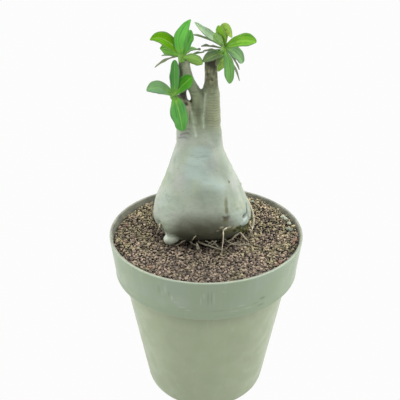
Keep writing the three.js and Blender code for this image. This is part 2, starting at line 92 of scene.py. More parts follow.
# Thin beige roots on the trunk's foot and on the grit: x, y, z and radius of each station
ROOTS = {
    "edge": [(25, 13.4, 175, 0.59), (27, 14, 170, 0.84), (31, 13.6, 163.4, 1.01), (34.6, 13, 156.4, 1.09),
             (37.2, 11.4, 149.6, 1.01), (37.7, 8.4, 142.8, 0.92), (35.8, 3, 138, 0.67),
             (33.4, 0.4, 134.4, 0.42)],
    "hook": [(12.6, -20.4, 153, 0.42), (12.9, -22.6, 150.6, 0.46), (12.7, -23.2, 146, 0.42),
             (12.3, -23.4, 140, 0.42), (11.7, -24.4, 134.9, 0.34)],
    "hook_top": [(12.6, -20.8, 152.6, 0.5), (14, -20.8, 154, 0.5), (15.6, -19.6, 154.6, 0.35)],
    "front": [(-6, -8, 138, 0.76), (-4.1, -12.6, 137.2, 0.76), (4, -17, 136.6, 0.67),
              (12.8, -20.3, 135.4, 0.5)],
    "front_fork": [(3, -16.4, 136.6, 0.42), (5.4, -14.6, 137.6, 0.42), (7.9, -13.8, 139.4, 0.42)],
    "front_cross": [(5.2, -14.4, 137.4, 0.34), (8, -15.8, 136.8, 0.38), (9.6, -17.4, 135.6, 0.34)],
    "side": [(24.4, -6, 147.4, 0.59), (25.7, -9.5, 145.4, 0.67), (22.5, -10.6, 142.4, 0.67),
             (19, -11.3, 139, 0.59), (15, -10.5, 136.8, 0.42)],
    "side_outer": [(25, -7, 147, 0.5), (26, -9.5, 145.2, 0.59), (29.4, -9.2, 140.4, 0.55),
                   (33.3, -8.6, 135.6, 0.38)],
    "low": [(14, -8, 138, 0.59), (20.5, -13.4, 136.9, 0.5), (28, -13.4, 136.5, 0.42),
            (35.6, -11.4, 135.6, 0.29)],
    "low_cross": [(17, -15.6, 136.6, 0.34), (22, -12.6, 137.2, 0.34), (27, -10, 136.6, 0.29)],
    "tangle_a": [(-0.7, -12, 138.4, 0.34), (2.6, -13.4, 137.8, 0.38), (5.4, -14.6, 136.2, 0.29)],
    "tangle_b": [(0.8, -15.4, 136.6, 0.29), (4.4, -12.6, 138, 0.34), (8.6, -11.6, 138.4, 0.29)],
    "tangle_c": [(4.7, -11.4, 138.6, 0.29), (6.8, -13.8, 137.6, 0.34), (9.3, -16, 136.2, 0.29)],
    "tangle_d": [(-12.4, -11.6, 137.4, 0.35), (-9.6, -14.2, 136.9, 0.4), (-5.6, -16, 136.4, 0.35)],
    "right_fine": [(34.4, -0.6, 146.4, 0.42), (36.2, 0.2, 142, 0.42), (36.4, 0.8, 138.6, 0.38),
                   (37.8, -1.8, 135.6, 0.34)],
    "runner": [(-23.4, -14.4, 135.3, 0.4), (-19.2, -13.6, 137.7, 0.5), (-15, -12.4, 139.8, 0.45)],
    "riser": [(-10.7, -13.2, 139.2, 0.4), (-9, -19.6, 145.6, 0.4), (-7.4, -21.7, 148.9, 0.3)],
    "spike": [(-6, -17.2, 134.4, 1.6), (-6.5, -16.4, 136.8, 1), (-7, -15.4, 139, 0.3)],
    "left_bump": [(-34.2, -10, 153, 0.6), (-34.9, -9.8, 150.8, 1), (-34.9, -8.2, 148.2, 0.7)],
    "left_fine": [(-36.2, -2.6, 145, 0.5), (-37.4, -2, 141.8, 0.5), (-38.4, 1, 138.2, 0.4),
                  (-38.8, 3, 135.4, 0.35)],
}

# Creases cut in the trunk: their points, width, depth and how dark they are painted, which is the shade in
# them and, at the scar's rim, dark bark
CREASES = {
    "foot_notch": ([(-35.4, -10.4, 154), (-34.2, -11.8, 152), (-33.2, -12.4, 149.8), (-32.4, -11, 146.4)],
                   0.8, 1.8, 0.9),
    "toe_top": ([(-32.4, -11, 146.4), (-29, -13.4, 145.6), (-25.7, -15.2, 146.4), (-22.6, -17, 147)], 0.8,
                1.4, 0.95),
    "side_cut": ([(31.4, 3, 162), (30.9, 1.3, 159.4), (30.8, -0.8, 157), (29.9, -4.4, 156.8),
                  (29, -7.4, 157.2)], 1.3, 2, 0.9),
    "side_fold": ([(31.8, -0.4, 155.6), (33.6, -1.4, 151.6)], 0.9, 1.2, 0.4),
    "flap_foot": ([(31, -4.4, 149.6), (28, -8.6, 149.6), (23.4, -12.4, 151)], 0.9, 1.2, 0.5),
    "scar_rim": ([(12.2, -19.4, 163), (14.4, -19, 162.2), (16.6, -17.6, 162.2)], 0.9, 0.7, 0.6),
    "node_hollow": ([(-15.6, 7.2, 241.6), (-14.4, 7.6, 240.4)], 1.2, 1.6, 0.85),
    "wrinkle_low": ([(-21, 7, 215), (-18.4, 5.6, 215.8), (-15.8, 4.8, 216.6), (-12.6, 3.8, 215.2)], 0.6,
                    0.5, 0.5),
    "wrinkle_middle": ([(-18.6, 6, 218), (-16, 5.3, 219.2), (-13.4, 5, 219.6), (-11.6, 4.6, 217.6)], 0.6,
                       0.6, 0.65),
    "wrinkle_high": ([(-17, 6.2, 221), (-14.8, 5.8, 222.4), (-12.4, 5.8, 222.4), (-11, 5.4, 220)], 0.6,
                     0.5, 0.55),
}

# Pale ridges raised along the stems: their points, width and height
RIDGES = {
    "left_stem": ([(-12.4, 9.6, 241), (-11.6, 9, 236), (-11, 8.6, 232), (-9.9, 7, 228.6),
                   (-8.8, 4.9, 222), (-7.8, 3, 218)], 1, 0.8),
    "right_stem": ([(-0.9, 6.9, 248), (-1.5, 7.6, 241), (-1.9, 8.4, 235), (-2.3, 7.2, 229),
                    (-2.5, 5.2, 224)], 1, 0.7),
}

# Low swellings on the trunk: centre, radius and height
SWELLINGS = [
    ((29, -8.6, 154), 2.6, 0.5), ((29.6, -5.4, 145), 6.5, 3), ((-37.4, -9.4, 150.4), 3.6, -3),
    ((14.6, -20, 163.4), 2, 0.7), ((27.2, 9.4, 177.4), 1.9, 1.9), ((-23.6, 6.5, 244.8), 2, 0.8),
    ((-16.4, 7, 240.6), 2.6, 0.7), ((-8, 6, 226), 1.6, 0.5), ((6, 6.4, 230), 2, 0.4),
]

# Leaves: base, middle pull and tip, blade width, the way the upper face looks, how far along it is
# widest, how round its point is (a low number is blunt), and its colour, which holds painted shade and
# painted light on some leaves
LEFT_LEAVES = [
    ((-17.4, 10.6, 274), (-21.6, 6.5, 287), (-11, 8, 298.4), 9, (-0.1, -1, 0.2), 0.5, 0.9,
     (0.12, 0.41, 0.062)),
    # Painted light: this leaf is coloured brighter against the shade of the tall leaf beside it
    ((-16.4, 10.4, 274), (-14.4, 9, 284), (-10.8, 9.4, 291.4), 7.6, (0.1, -1, 0.3), 0.6, 0.65,
     (0.13, 0.42, 0.07)),
    ((-18, 11, 275), (-29.4, 6.5, 290), (-38.4, 4, 285.8), 10.2, (-0.2, -0.7, 0.6), 0.48, 0.95,
     (0.088, 0.24, 0.002)),
    ((-18, 12.4, 273.6), (-26, 16, 278), (-33, 17.5, 277.7), 9.4, (-0.2, -0.7, 0.6), 0.55, 0.9,
     (0.092, 0.227, 0.026)),
    ((-18, 13, 272.6), (-25, 19, 273), (-32.4, 24, 271.2), 7.8, (-0.1, 0, 1), 0.6, 0.8,
     (0.08, 0.18, 0.03)),
    ((-18, 12.6, 273.2), (-26.5, 16, 272.4), (-37.2, 18, 264.2), 3.8, (-0.3, 0.45, 0.85), 0.6, 0.8,
     (0.3, 0.27, 0.2)),
    ((-16.6, 13, 273.6), (-11.5, 20, 277.5), (-5.4, 26, 274.8), 8.8, (-0.1, -0.1, 1), 0.64, 0.7,
     (0.1, 0.2, 0.05)),
    ((-16.6, 12.6, 273), (-9, 17, 273.6), (-2, 20, 274.6), 7, (-0.2, 0.2, 0.95), 0.6, 0.8,
     (0.1, 0.2, 0.05)),
    ((-17, 10.4, 272.6), (-10, 5.6, 272.6), (-3, 6, 269.4), 9.4, (0.1, 0.85, 0.5), 0.58, 0.65,
     (0.246, 0.425, 0.079)),
]
SIDE_LEAVES = [
    ((-23, 6.2, 247.4), (-21.8, 3.6, 260), (-22, 4.6, 272.4), 7.4, (-0.3, -1, 0.1), 0.55, 0.5,
     (0.07, 0.228, 0.05)),
    ((-23, 5.9, 247.4), (-17.2, 2.6, 255.8), (-10, 2, 261.4), 9.8, (-0.2, -0.9, 0.35), 0.7, 0.5,
     (0.05, 0.22, 0.012)),
    ((-24, 6.3, 247.2), (-33.4, 3, 257), (-42, 2, 251.6), 9.6, (-0.2, -0.75, 0.6), 0.56, 0.75,
     (0.143, 0.272, 0.115)),
    ((-22.6, 5.6, 246), (-18.6, -3.5, 238), (-17, -6, 225.2), 12, (0, -1, 0.3), 0.56, 0.52,
     (0.082, 0.262, 0.053)),
]
RIGHT_LEAVES = [
    ((12.2, 11.4, 280), (9.6, 6.5, 288), (7.4, 6, 295), 6.8, (-0.3, -0.9, 0.2), 0.6, 0.75,
     (0.198, 0.395, 0.032)),
    ((12.4, 11.4, 280), (10.4, 8, 301), (16.6, 6.5, 287), 7.6, (-0.4, -0.9, -0.1), 0.55, 0.7,
     (0.38, 0.54, 0.1)),
    ((12.2, 11.2, 279.6), (23, 5, 287.4), (33.2, 4, 284.6), 9.4, (0.1, -0.8, 0.6), 0.6, 0.65,
     (0.142, 0.33, 0.026)),
    ((12, 11.6, 278.4), (19.6, 9.6, 279), (24.8, 10.6, 269.2), 9.4, (0.5, -0.75, 0.5), 0.62, 0.55,
     (0.158, 0.282, 0.116)),
    ((11.8, 11, 277.8), (15.8, 3.5, 273), (15.8, 4, 256.4), 7.2, (0.15, -1, 0.25), 0.68, 0.6,
     (0.138, 0.305, 0.082)),
    ((11.8, 12.6, 277.8), (16, 19, 276), (23.2, 21, 262), 6.4, (0.85, 0.15, 0.5), 0.6, 0.8,
     (0.17, 0.17, 0.12)),
    ((11.6, 12.2, 277), (17, 15.5, 271), (23.4, 17, 255), 4.4, (0.9, 0.3, 0.4), 0.6, 0.8,
     (0.34, 0.34, 0.27)),
    ((12, 12.4, 280), (2, 16, 287), (-8.6, 20, 295), 6, (-0.55, -0.25, 0.75), 0.5, 0.9,
     (0.307, 0.408, 0.25)),
    ((12, 11.2, 280), (8.6, 7.5, 285), (4.6, 6.5, 290), 6.6, (-0.6, -0.5, 0.6), 0.6, 0.75,
     (0.24, 0.4, 0.12)),
    ((11.8, 12.6, 279), (2, 17, 284.6), (-10.6, 21, 286.4), 5.4, (-0.1, 0.4, 0.9), 0.6, 0.8,
     (0.29, 0.29, 0.21)),
    ((11.6, 12.8, 278.4), (3.4, 19, 279.2), (-4, 23, 278), 6.4, (-0.1, 0.3, 0.9), 0.64, 0.7,
     (0.29, 0.27, 0.2)),
    ((11.4, 12, 277.6), (4, 15, 276.6), (-2.8, 17, 275.8), 6.2, (0, 0.3, 0.9), 0.6, 0.8,
     (0.26, 0.26, 0.17)),
    # Painted shade: this leaf is coloured dark for the shade it lies in
    ((11, 11, 275.6), (4.6, 4.5, 275.8), (-3, 3, 271.6), 9, (-0.25, -0.6, 0.75), 0.5, 0.7,
     (0.078, 0.118, 0.047)),
    # Painted light: this leaf is coloured bright for the light that shines through it from behind
    ((10.2, 12.8, 274.6), (11.8, 20, 271.5), (8, 22, 260.6), 6.8, (0.4, 0.9, 0.2), 0.6, 0.7,
     (0.52, 0.72, 0.14)),
]

# Green shoots: x, y, z and radius of each station
LEFT_SHOOT = [(-17, 12, 270, 3.1), (-17.6, 11.8, 273.6, 2.6), (-17.6, 11.4, 277.5, 1.2)]
SIDE_TWIG = [(-23.4, 7.4, 244.8, 1.9), (-24.2, 6.6, 246.4, 1.9), (-23.6, 6.2, 248.6, 1.2)]
RIGHT_SHOOT = [(5, 12, 268.4, 2.8), (8.4, 12, 271.6, 2.4), (11.2, 12, 276.6, 2.2), (12.4, 12, 281.6, 1.2)]

# A leaf's blade: its stalk and fold as shares of its width, and its waves and its ragged outline
LEAF_GRID = (14, 30)
LEAF_STALK = 0.16
STALK_TAPER = 0.6
LEAF_FOLD = 0.3
FOLD_ROUNDING = 0.01
MIDRIB_WIDTH = 0.01
LEAF_WAVE = 0.35
LEAF_WAVES = 2.5
LEAF_WAVE_STEP = 0.37
LEAF_NOTCH = 0.3
LEAF_NOTCHES = 4.5
NOTCH_SHIFT = 3.7

# A rib under each leaf: place along it, and radius as a share of the blade's width
STALK_RADII = [(0, 0.11), (0.12, 0.075), (0.4, 0.045), (0.8, 0.015)]
BUDS = 4
BUD_TURN = 2.4
BUD_REACH = 1.6
BUD_SPREAD = (0.35, 0.1)
BUD_RISE = 1.7
BUD_RADII = (0.6, 0.7, 0.15)

# Fineness of the trunk and of each kind of limb: sides, and rings between two stations. Then how the
# joined bark is worked over, and how far, in metres, the thin roots wander
TRUNK_SIDES = 96
TRUNK_RINGS_EACH = 8
LEAST_REACH = 0.5
LIMB_FINENESS = (24, 5)
LIMB_END = 0.05
ROOT_FINENESS = (14, 8)
SHOOT_FINENESS = (16, 6)
STALK_FINENESS = (8, 4)
JOINT_ROUNDS = 8
JOINT_FILL = 0.6
SURFACE_EASE = 0.12
BARK_SWELLS = [(0.35, 11), (0.16, 4)]
SWELL_STRETCH = 1.6
ROOT_WANDER = 0.00025
ROOT_WANDER_SCALE = 400
ROOT_WANDER_SEED = 5

# The underside of the trunk's foot, painted dark as soiled bark and as shade under the overhang, most
# where it faces down and towards the front: shares of a normal's direction where it begins and how soon it
# is full, then heights and the reach of the toe that stays clear, in millimetres
SOILED_AND_SHADED_BELOW = (0.5, 0.5)
SOILED_AND_SHADED_FRONT = (-0.1, 0.6)
SOILED_AND_SHADED_SIDES = ((-0.6, 0.4), (0.8, 0.4))
SOILED_AND_SHADED_FACING_DOWN = (-0.3, 0.5)
SOILED_AND_SHADED_TOP = (174, 16)
SOILED_AND_SHADED_LOW = 165
TOE_CLEAR = (5, 4)

# Fineness of the pot, and the sizes, in metres, of its profile that no user changes
POT_SIDES = 160
ROD_SIDES = 40
CORNER_STEPS = 5
SHARP_ANGLE = math.radians(40)
MERGE_REACH = 1e-6
PROFILE_CORNERS = (0.0005, 0.0008, 0.0006, 0.0004)
INNER_STEP = 0.001
FOOT_SLACK = 0.0001
BEAD_HEIGHT = 0.003
LIP_CORNER = 0.0009
FLOOR_CORNER = 0.003

# The grit, in metres: its packed filling, its swells, and the places, sizes and tilts of its grains
BED_GAP = 0.0003
BED_SIDES = 96
BED_BANK = 0.7
BANK_TILT_ANGLE = 0.6
GROUND_SWELL = 0.001
SWELL_SCALE = 45
RIPPLE_SCALE = 130
RIPPLE_SHIFT = 0.3
GRAIN_BATCH = 250
PLACE_SEED = 41
GRAIN_SEED = 7
ROW_STEP = 0.866
GRAIN_JITTER = 0.4
EXTRA_COLUMNS = 12
TRUNK_PLACE = (-0.0015, 0.012)
CLEAR_BEHIND = 0.0235
CLEAR_IN_FRONT = 0.0155
GRAIN_SIZES = (0.62, 0.75, 1.5)
GRAIN_SINK = 0.0004
GRAIN_LIFT = 0.7
PEBBLE_LIFT = 0.3
STONE_TURN = 6.28
STONE_LEAN = 0.7
STONE_SQUASH = ((0.9, 1.35), (0.7, 1.05), (0.5, 0.8))
STONE_UNEVENNESS = 0.2

# The grains' colours: painted light that makes them paler towards the back and the sides, painted shade
# under the front of the trunk and along the front of the rim, and olive or pink in patches
LEFT_SIDE_WEIGHT = 0.9
PAINTED_LIGHT_RAMP = (0.95, 4.2)
TONE_CURVE = 1.25
RIM_SHADE = 0.85
RIM_SHADE_FRONT = -0.02
RIM_SHADE_RADIUS = 0.0675
FOOT_SHADE = 0.9
FOOT_SHADE_PLACE = (0.0, -0.013)
FOOT_SHADE_REACH = 0.03
FOOT_SHADE_SQUASH = 2.2
PATCH_MIDDLE = 0.75
PATCH_BACK_SHIFT = 6
PATCH_SWING = 1.7
PATCH_SCALE = 70
PATCH_SHIFT = 0.6
PATCH_JITTER = 0.25
# The filling is painted near black, as the shade in the gaps between the grains
GAP_SHADE_TONE = 0.12
OLIVE_CAST = (1.05, 1.01, 0.77)
PINK_CAST = (1.1, 0.965, 0.91)

# Single pebbles that stand out in the grit: x, y, radius and kind
PEBBLES = [
    (65.2, 19.4, 2.4, "pale"), (63.2, 22.4, 1.9, "pale"), (66.8, 12, 1.8, "pale"), (65.6, 4, 1.7, "grey"),
    (66.8, 1, 1.5, "grey"), (61.6, -13.5, 0.8, "white"), (68, -14, 1.6, "red"), (66.4, -18, 1.3, "red"),
    (53.3, -42.7, 1.6, "red"), (50, -46, 1.3, "red"), (-62, -14, 1.3, "red"), (-40, -48, 1.3, "red"),
    (-64, 10, 1.4, "red"), (40, 50, 1.6, "grey"), (-20, 60, 1.6, "grey"),
]

PEBBLE_COLOURS = {
    "pale": (0.31, 0.34, 0.26), "grey": (0.19, 0.22, 0.17), "white": (0.6, 0.6, 0.56),
    "red": (0.21, 0.12, 0.09),
}

# Pale scratches and dark smudges on the pot: tint, softness of the edge, and the centre, size and
# strength of each mark
SCRATCHES = ((0.225, 0.275, 0.215), 0.8, [
    ((5.7, -73.6, 130), (0.4, 3, 8), 0.7), ((-1.2, -73.4, 133), (0.9, 3, 4), 0.5),
    ((-3.2, -73.3, 128.5), (0.6, 3, 6), 0.5), ((-23, -69.6, 128), (0.9, 4, 3.6), 0.8),
    ((-27.4, -68, 134), (1.5, 5, 6), 0.5), ((-29.6, -67, 130), (1, 4, 4), 0.4),
    ((-16.4, -71.6, 121), (3.6, 4, 0.9), 0.6), ((-12, -72.4, 119), (3, 4, 0.7), 0.5),
    ((-20.5, -70.6, 124.6), (3, 4, 0.8), 0.5), ((12, -72.5, 136), (2.5, 4, 0.6), 0.4),
    ((-19, -70.8, 126), (13, 6, 8), 0.22), ((-30, -66.4, 122), (8, 6, 6), 0.2),
    ((25, -69.6, 121), (5, 5, 1), 0.6), ((30, -67.4, 117.4), (6, 5, 0.8), 0.55),
    ((21, -70.6, 117), (7, 5, 0.7), 0.45),
])
SMUDGES = ((0.07, 0.088, 0.055), 0.8, [
    ((39.6, -61, 122), (3.4, 5, 2), 0.7), ((38.6, -61.6, 116.4), (4, 5, 1.4), 0.55),
    ((35, -63.6, 119.6), (4.5, 5, 1), 0.4), ((1.7, -73.4, 131), (1.3, 3, 9), 0.35),
    ((4, -73.6, 131), (0.9, 3, 9), 0.4), ((9, -72.6, 119), (10, 6, 1.2), 0.25),
    ((-32, -66.4, 133), (1.2, 4, 5), 0.3), ((-25, -69, 131), (0.9, 4, 4), 0.3),
])
POT_MARKS = (SCRATCHES, SMUDGES)

# Moss on the lower right of the trunk: softness of the edge, then centre, size and strength of each
MOSS = (0.4, [
    ((29.5, -7.5, 146.6), (7.4, 7, 4.8), 1), ((33, -2, 148), (4.5, 7, 4.6), 0.9),
    ((24, -13, 150), (6.4, 5, 3.4), 0.95),
])

# Marks on the bark, in the order they are laid on, the white ones once more over the moss: tint,
# softness of the edge, and the centre, size and strength of each mark
BARK_MARKS = {
    "blue": ((0.194, 0.256, 0.234), 0.8, [
        ((-6, -6, 190), (17, 12, 17), 0.7), ((6, -12, 182), (13, 12, 7), 0.5),
        ((31, -5, 158), (4, 7, 8), 0.8), ((-3, -2, 206), (13, 9, 9), 0.7),
    ]),
    "shade": ((0.15, 0.178, 0.135), 0.8, [
        ((1, -17, 177), (18, 12, 14), 0.6), ((12, -3, 194), (9, 10, 16), 0.65),
        ((21, -8, 178), (8, 9, 14), 0.4),
    ]),
    "ice": ((0.31, 0.385, 0.35), 0.8, [
        ((-7, 0, 208.5), (11, 6, 4.5), 0.4), ((-9, -4, 202), (11, 8, 4.5), 0.35),
        ((-9, -4, 199), (12, 11, 16), 0.45), ((-9, -9, 192), (12, 8, 5), 0.35),
        ((-1, -11, 188.5), (12, 9, 7), 0.32), ((7, -10, 187), (12, 10, 8), 0.36),
        ((11, -10, 183), (8, 7, 6), 0.22),
    ]),
    "slate": ((0.14, 0.155, 0.155), 0.8, [
        ((4.5, -5, 198.5), (6, 8, 8), 0.45), ((3.5, 2, 210.6), (8, 6, 2.6), 0.35),
        ((-14.6, 4, 217.6), (5, 5, 5), 0.35),
    ]),
    "lilac": ((0.31, 0.31, 0.3), 0.7, [
        ((-19.3, -8.7, 186.7), (9, 9, 9), 0.35), ((21.5, 0, 182.6), (6, 9, 13), 0.4),
        ((-19, 6, 216), (6, 5, 6), 0.45),
    ]),
    "olive": ((0.09, 0.09, 0.038), 0.8, [((18, -17, 150.5), (9, 6, 4.5), 0.85)]),
    "beige": ((0.3, 0.28, 0.19), 0.6, [
        ((-15.2, 9, 239.6), (5.6, 5, 4.6), 0.8), ((-12.6, 9, 236.6), (2, 4, 5), 0.7),
        ((17, -18.4, 154.4), (3, 3, 1.4), 0.75), ((11.6, -20.6, 155.4), (2.6, 3, 1.4), 0.65),
        ((14.4, -20, 152.4), (3, 3, 0.9), 0.5), ((21, -15.4, 152.6), (2, 3, 1.2), 0.6),
        ((8.6, -21.8, 153), (1.6, 3, 0.8), 0.5),
    ]),
    "white": ((0.3, 0.35, 0.32), 0.5, [
        ((27.6, -10.6, 153.6), (2.4, 3, 1.6), 0.9), ((29.4, -8.8, 154.8), (2.2, 3, 1.6), 0.9),
        ((31, -6, 155.4), (2, 3, 1.6), 0.8),
    ]),
    "dry": ((0.33, 0.355, 0.245), 0.6, [((-14, 10, 263), (3, 5, 12), 0.85)]),
    # A painted highlight on the toe's top and its left end
    "toe": ((0.41, 0.455, 0.37), 0.5, [
        ((-31, -16, 142), (2.6, 6, 5), 0.9), ((-27, -18, 142.6), (7, 6, 2.6), 0.9),
        ((-25, -16, 139), (6, 7, 4), 0.6),
    ]),
    "scar": ((0.09, 0.095, 0.042), 0.8, [
        ((14.6, -14.2, 172), (2.2, 6, 7.5), 0.8), ((15.2, -17, 167.6), (2.3, 4, 4.6), 0.9),
        ((14.4, -19.4, 159.4), (4, 3, 3.4), 0.75), ((-12.4, 7.7, 230.2), (1, 3, 8), 0.6),
    ]),
    "brown": ((0.062, 0.052, 0.022), 0.7, [
        ((14.5, -18.8, 161.7), (3, 3, 2.3), 0.9), ((14.7, -18.4, 161.2), (3.8, 3, 1.4), 0.9),
        ((5.5, -20, 166), (0.7, 2, 0.6), 0.5), ((-1, -18, 172), (1.2, 2, 0.7), 0.5),
        ((-4, -17, 174), (0.9, 2, 0.6), 0.5), ((-12, -20.6, 165), (0.7, 2, 0.6), 0.45),
        ((-20.4, 7.6, 244.8), (3.4, 4, 2.4), 0.85), ((-14.9, 8.6, 240.5), (2.2, 3, 1.9), 0.97),
        ((-11.2, 10, 241.8), (1.6, 2.5, 1), 0.9), ((-23.2, 6, 245), (2, 3, 2.6), 0.9),
    ]),
    # Partly painted shade, on the stems in the leaves' shade, in the crotch and in the side notch, and
    # partly dark pits on the bark
    "dark": ((0.05, 0.05, 0.03), 0.7, [
        ((17, -3.8, 184.6), (1.3, 2, 1.2), 0.85), ((16.3, -4, 186), (0.7, 2, 0.7), 0.6),
        ((-26.4, 12, 201), (1.2, 5, 1), 0.6), ((-27.4, 12, 196), (0.8, 5, 2.4), 0.45),
        ((-6, 8, 233), (2.6, 4, 15), 0.45), ((31, 0.6, 158.4), (1.6, 3.4, 4.4), 0.75),
        ((-16.2, 9.4, 245.4), (3.4, 4, 5.4), 0.85), ((-14, 9.4, 243), (1.6, 4, 2), 0.5),
        ((-2, 10, 247), (2.4, 5, 3), 0.5), ((3.6, 7, 248.6), (5, 3, 0.6), 0.6),
    ]),
    # Painted shadow of the leaves, on the stems' tops and on the left stem behind the leaves
    "soot": ((0.02, 0.019, 0.009), 0.6, [
        ((-19.4, 12.5, 257), (3.8, 9, 19), 0.97), ((4, 7, 270.5), (7, 7, 7), 0.95),
        ((-1.6, 9, 270), (2.4, 4, 3), 0.8), ((-16.8, 9.6, 246.6), (3, 4, 5), 0.9),
    ]),
}

# The camera as it was fitted to the photograph, and the stage's floor and soft light from above
CAMERA_PLACE = (0.0, -0.3633, 0.35123)
CAMERA_PITCH = math.radians(26.814)
CAMERA_YAW = math.radians(0.7433)
CAMERA_LENS = 47.934
SENSOR_WIDTH = 36
CAMERA_REACH = 30
FLOOR_SIDES = 64
SOFT_TOP_SPREAD = math.radians(50)
SOFT_TOP_LEAN = (math.radians(-4), math.radians(8), 0)

# Brightness of the surroundings: where it begins and is full along an axis, and its start
REAR_REACH = (-0.3, 0.7, 0.05)
SIDE_REACH = (0.2, 0.9, 0.0)

# Sockets of a Mix node that blends colours: its share and both its colours, and its result
MIX_SOCKETS = (0, 6, 7)
MIX_RESULT = 2

BLACK = (0, 0, 0)
WHITE = (1, 1, 1)
FLOOR_GREY = (0.2, 0.2, 0.2)
STUDIO_WHITE = (0.975, 0.975, 0.975)

# Cloudy patterns: stretch, scale, detail, and the levels at which one begins and is full
CLOUDS = {
    "plastic": ((1, 1, 0.5), 38, 3, 0.35, 0.7), "collar_blue": ((1, 1, 1), 45, 3, 0.4, 0.65),
    "pale_streak": ((1, 1, 0.08), 420, 2, 0.55, 0.8), "dark_streak": ((1, 1, 0.08), 350, 2, 0.55, 0.8),
    "pot_dust": ((1, 1, 0.6), 110, 3, 0.3, 0.65), "haze": ((1, 1, 1), 90, 4, 0.3, 0.7),
    "fleck": ((1, 1, 1), 1400, 3, 0.35, 0.65),
    "skin": ((1, 1, 1), 60, 3, 0.35, 0.65), "blue": ((1, 1, 0.8), 45, 3, 0.55, 0.7),
    "olive": ((1.3, 1.3, 0.7), 52, 3, 0.52, 0.7), "rings": ((0.12, 0.12, 1), 520, 3, 0.5, 0.72),
    "peel": ((1, 1, 0.2), 300, 4, 0.45, 0.68), "hoops": ((0.15, 0.15, 1), 700, 3, 0.45, 0.62),
    "speck": ((1, 1, 1), 420, 4, 0.4, 0.62), "flakes": ((1, 1, 0.6), 520, 4, 0.48, 0.58),
    "dust": ((1, 1, 1), 600, 3, 0.62, 0.74), "blotch": ((1, 1, 0.7), 210, 5, 0.5, 0.68),
    "ragged": ((1, 1, 1), 130, 4, 0.3, 0.6), "tuft": ((1, 1, 1), 650, 4, 0.42, 0.62),
    "root_rings": ((1, 1, 1), 700, 3, 0.4, 0.65), "root_soil": ((1, 1, 1), 240, 3, 0.55, 0.7),
    "leaf": ((1, 1, 1), 160, 3, 0.35, 0.7), "shoot": ((1, 1, 1), 300, 3, 0.4, 0.65),
    "dark_stripe": ((1, 1, 1), 1, 2, 0.5, 0.66), "sheen_stripe": ((1, 1, 1), 1, 2, 0.38, 0.26),
}

# Colours laid over others: the colour, and how strongly it covers
COATS = {
    "shadow": ((0.1, 0.12, 0.062), 1), "collar": ((0.152, 0.199, 0.118), 1),
    "collar_blue": ((0.163, 0.213, 0.157), 0.6), "middle": ((0.03, 0.036, 0.018), 1),
    "crack": ((0.055, 0.068, 0.036), 0.4), "bead": ((0.25, 0.3, 0.2), 0.6),
    "pale_streak": ((0.28, 0.33, 0.26), 0.12), "dark_streak": ((0.09, 0.12, 0.07), 0.1),
    "fleck": ((0.6, 0.55, 0.5), 0.35),
    "blue": ((0.23, 0.3, 0.26), 0.4), "olive": ((0.24, 0.285, 0.165), 0.45),
    "hoops": ((0.1, 0.115, 0.07), 0.4), "ringed": ((0.225, 0.245, 0.138), 1),
    "stem_rings": ((0.09, 0.095, 0.055), 1), "flakes": ((0.21, 0.21, 0.115), 0.8),
    "pale": ((0.38, 0.43, 0.33), 1), "dust": ((0.1, 0.11, 0.08), 0.5),
    "blotch": ((0.15, 0.175, 0.12), 0.3), "soiled_and_shaded": ((0.058, 0.058, 0.036), 1),
    "rings": ((0.13, 0.165, 0.15), 1), "soil": ((0.1, 0.085, 0.062), 1),
    "leaf": ((0.6, 0.72, 0.6), 0.35), "dark_stripe": ((0.5, 0.66, 0.85), 0.75),
    "sheen_stripe": ((1.5, 1.25, 1.5), 0.5), "margin": ((0.12, 0.165, 0.1), 0.5),
}

# Colours that a cloudy pattern blends between
TONES = {
    # The lip's painted highlight along its front, and its darker back
    "lip": (0.3, 0.36, 0.27), "lip_behind": (0.1, 0.115, 0.085),
    "dark_dust": (0.135, 0.14, 0.11), "pale_dust": (0.23, 0.225, 0.175),
    "pale_skin": (0.255, 0.285, 0.23), "peeled_stem": (0.225, 0.26, 0.16),
    "dark_old": (0.03, 0.033, 0.012), "pale_old": (0.095, 0.1, 0.038),
    "dark_moss": (0.026, 0.026, 0.012), "pale_moss": (0.13, 0.138, 0.055),
    "pale_root": (0.6, 0.56, 0.4), "dark_root": (0.38, 0.35, 0.24),
    "dark_shoot": (0.08, 0.22, 0.018), "pale_shoot": (0.16, 0.34, 0.035),
    "dark_brown": (0.1, 0.13, 0.035), "pale_brown": (0.16, 0.17, 0.07),
}

# Soft steps along one axis: where each begins and is full, and what it rises from and to. The first
# five are heights over the collar's foot
SOFT_STEPS = {
    "shadow": (-17, 0, 0, 1), "shadow_end": (0.4, 0, 0, 1), "collar": (0, 0.6, 0, 1),
    "upper_collar": (8, 12.5, 0, 1), "lip": (31.3, 32.1, 0, 1),
    # front shapes the pot's painted shadow under the collar, middle its painted shade down the front, and
    # behind the lip's painted highlight at the front
    "front": (-30, -66, 0.15, 0.75), "middle": (-62, -72, 0, 0.07), "behind": (-50, -20, -0.3, 0.45),
    "young": (214, 230, 0, 1), "root_foot_shade": (140.5, 136.5, 0.15, 0.65),
    "thick_from": (0, 2, 0, 1), "thick_to": (9.5, 7.5, 0, 1),
}

# Soft patches and bands: centre, size, softness of the edge and strength
PATCHES = {
    "crack": ((0, 0, 107.6), (90, 90, 1.6), 0.9, 1), "bead": ((0, 0, 111.4), (90, 90, 1.1), 0.9, 1),
    "banded": ((-2, -4, 200), (16, 16, 18), 0.6, 1), "ringed": ((6, 8, 233), (9, 9, 18), 0.5, 0.62),
    "old_top": ((3, 12, 266), (9, 12, 30), 0.6, 0.9), "flaky": ((3, 9, 261), (7, 8, 7.5), 0.4, 1),
}

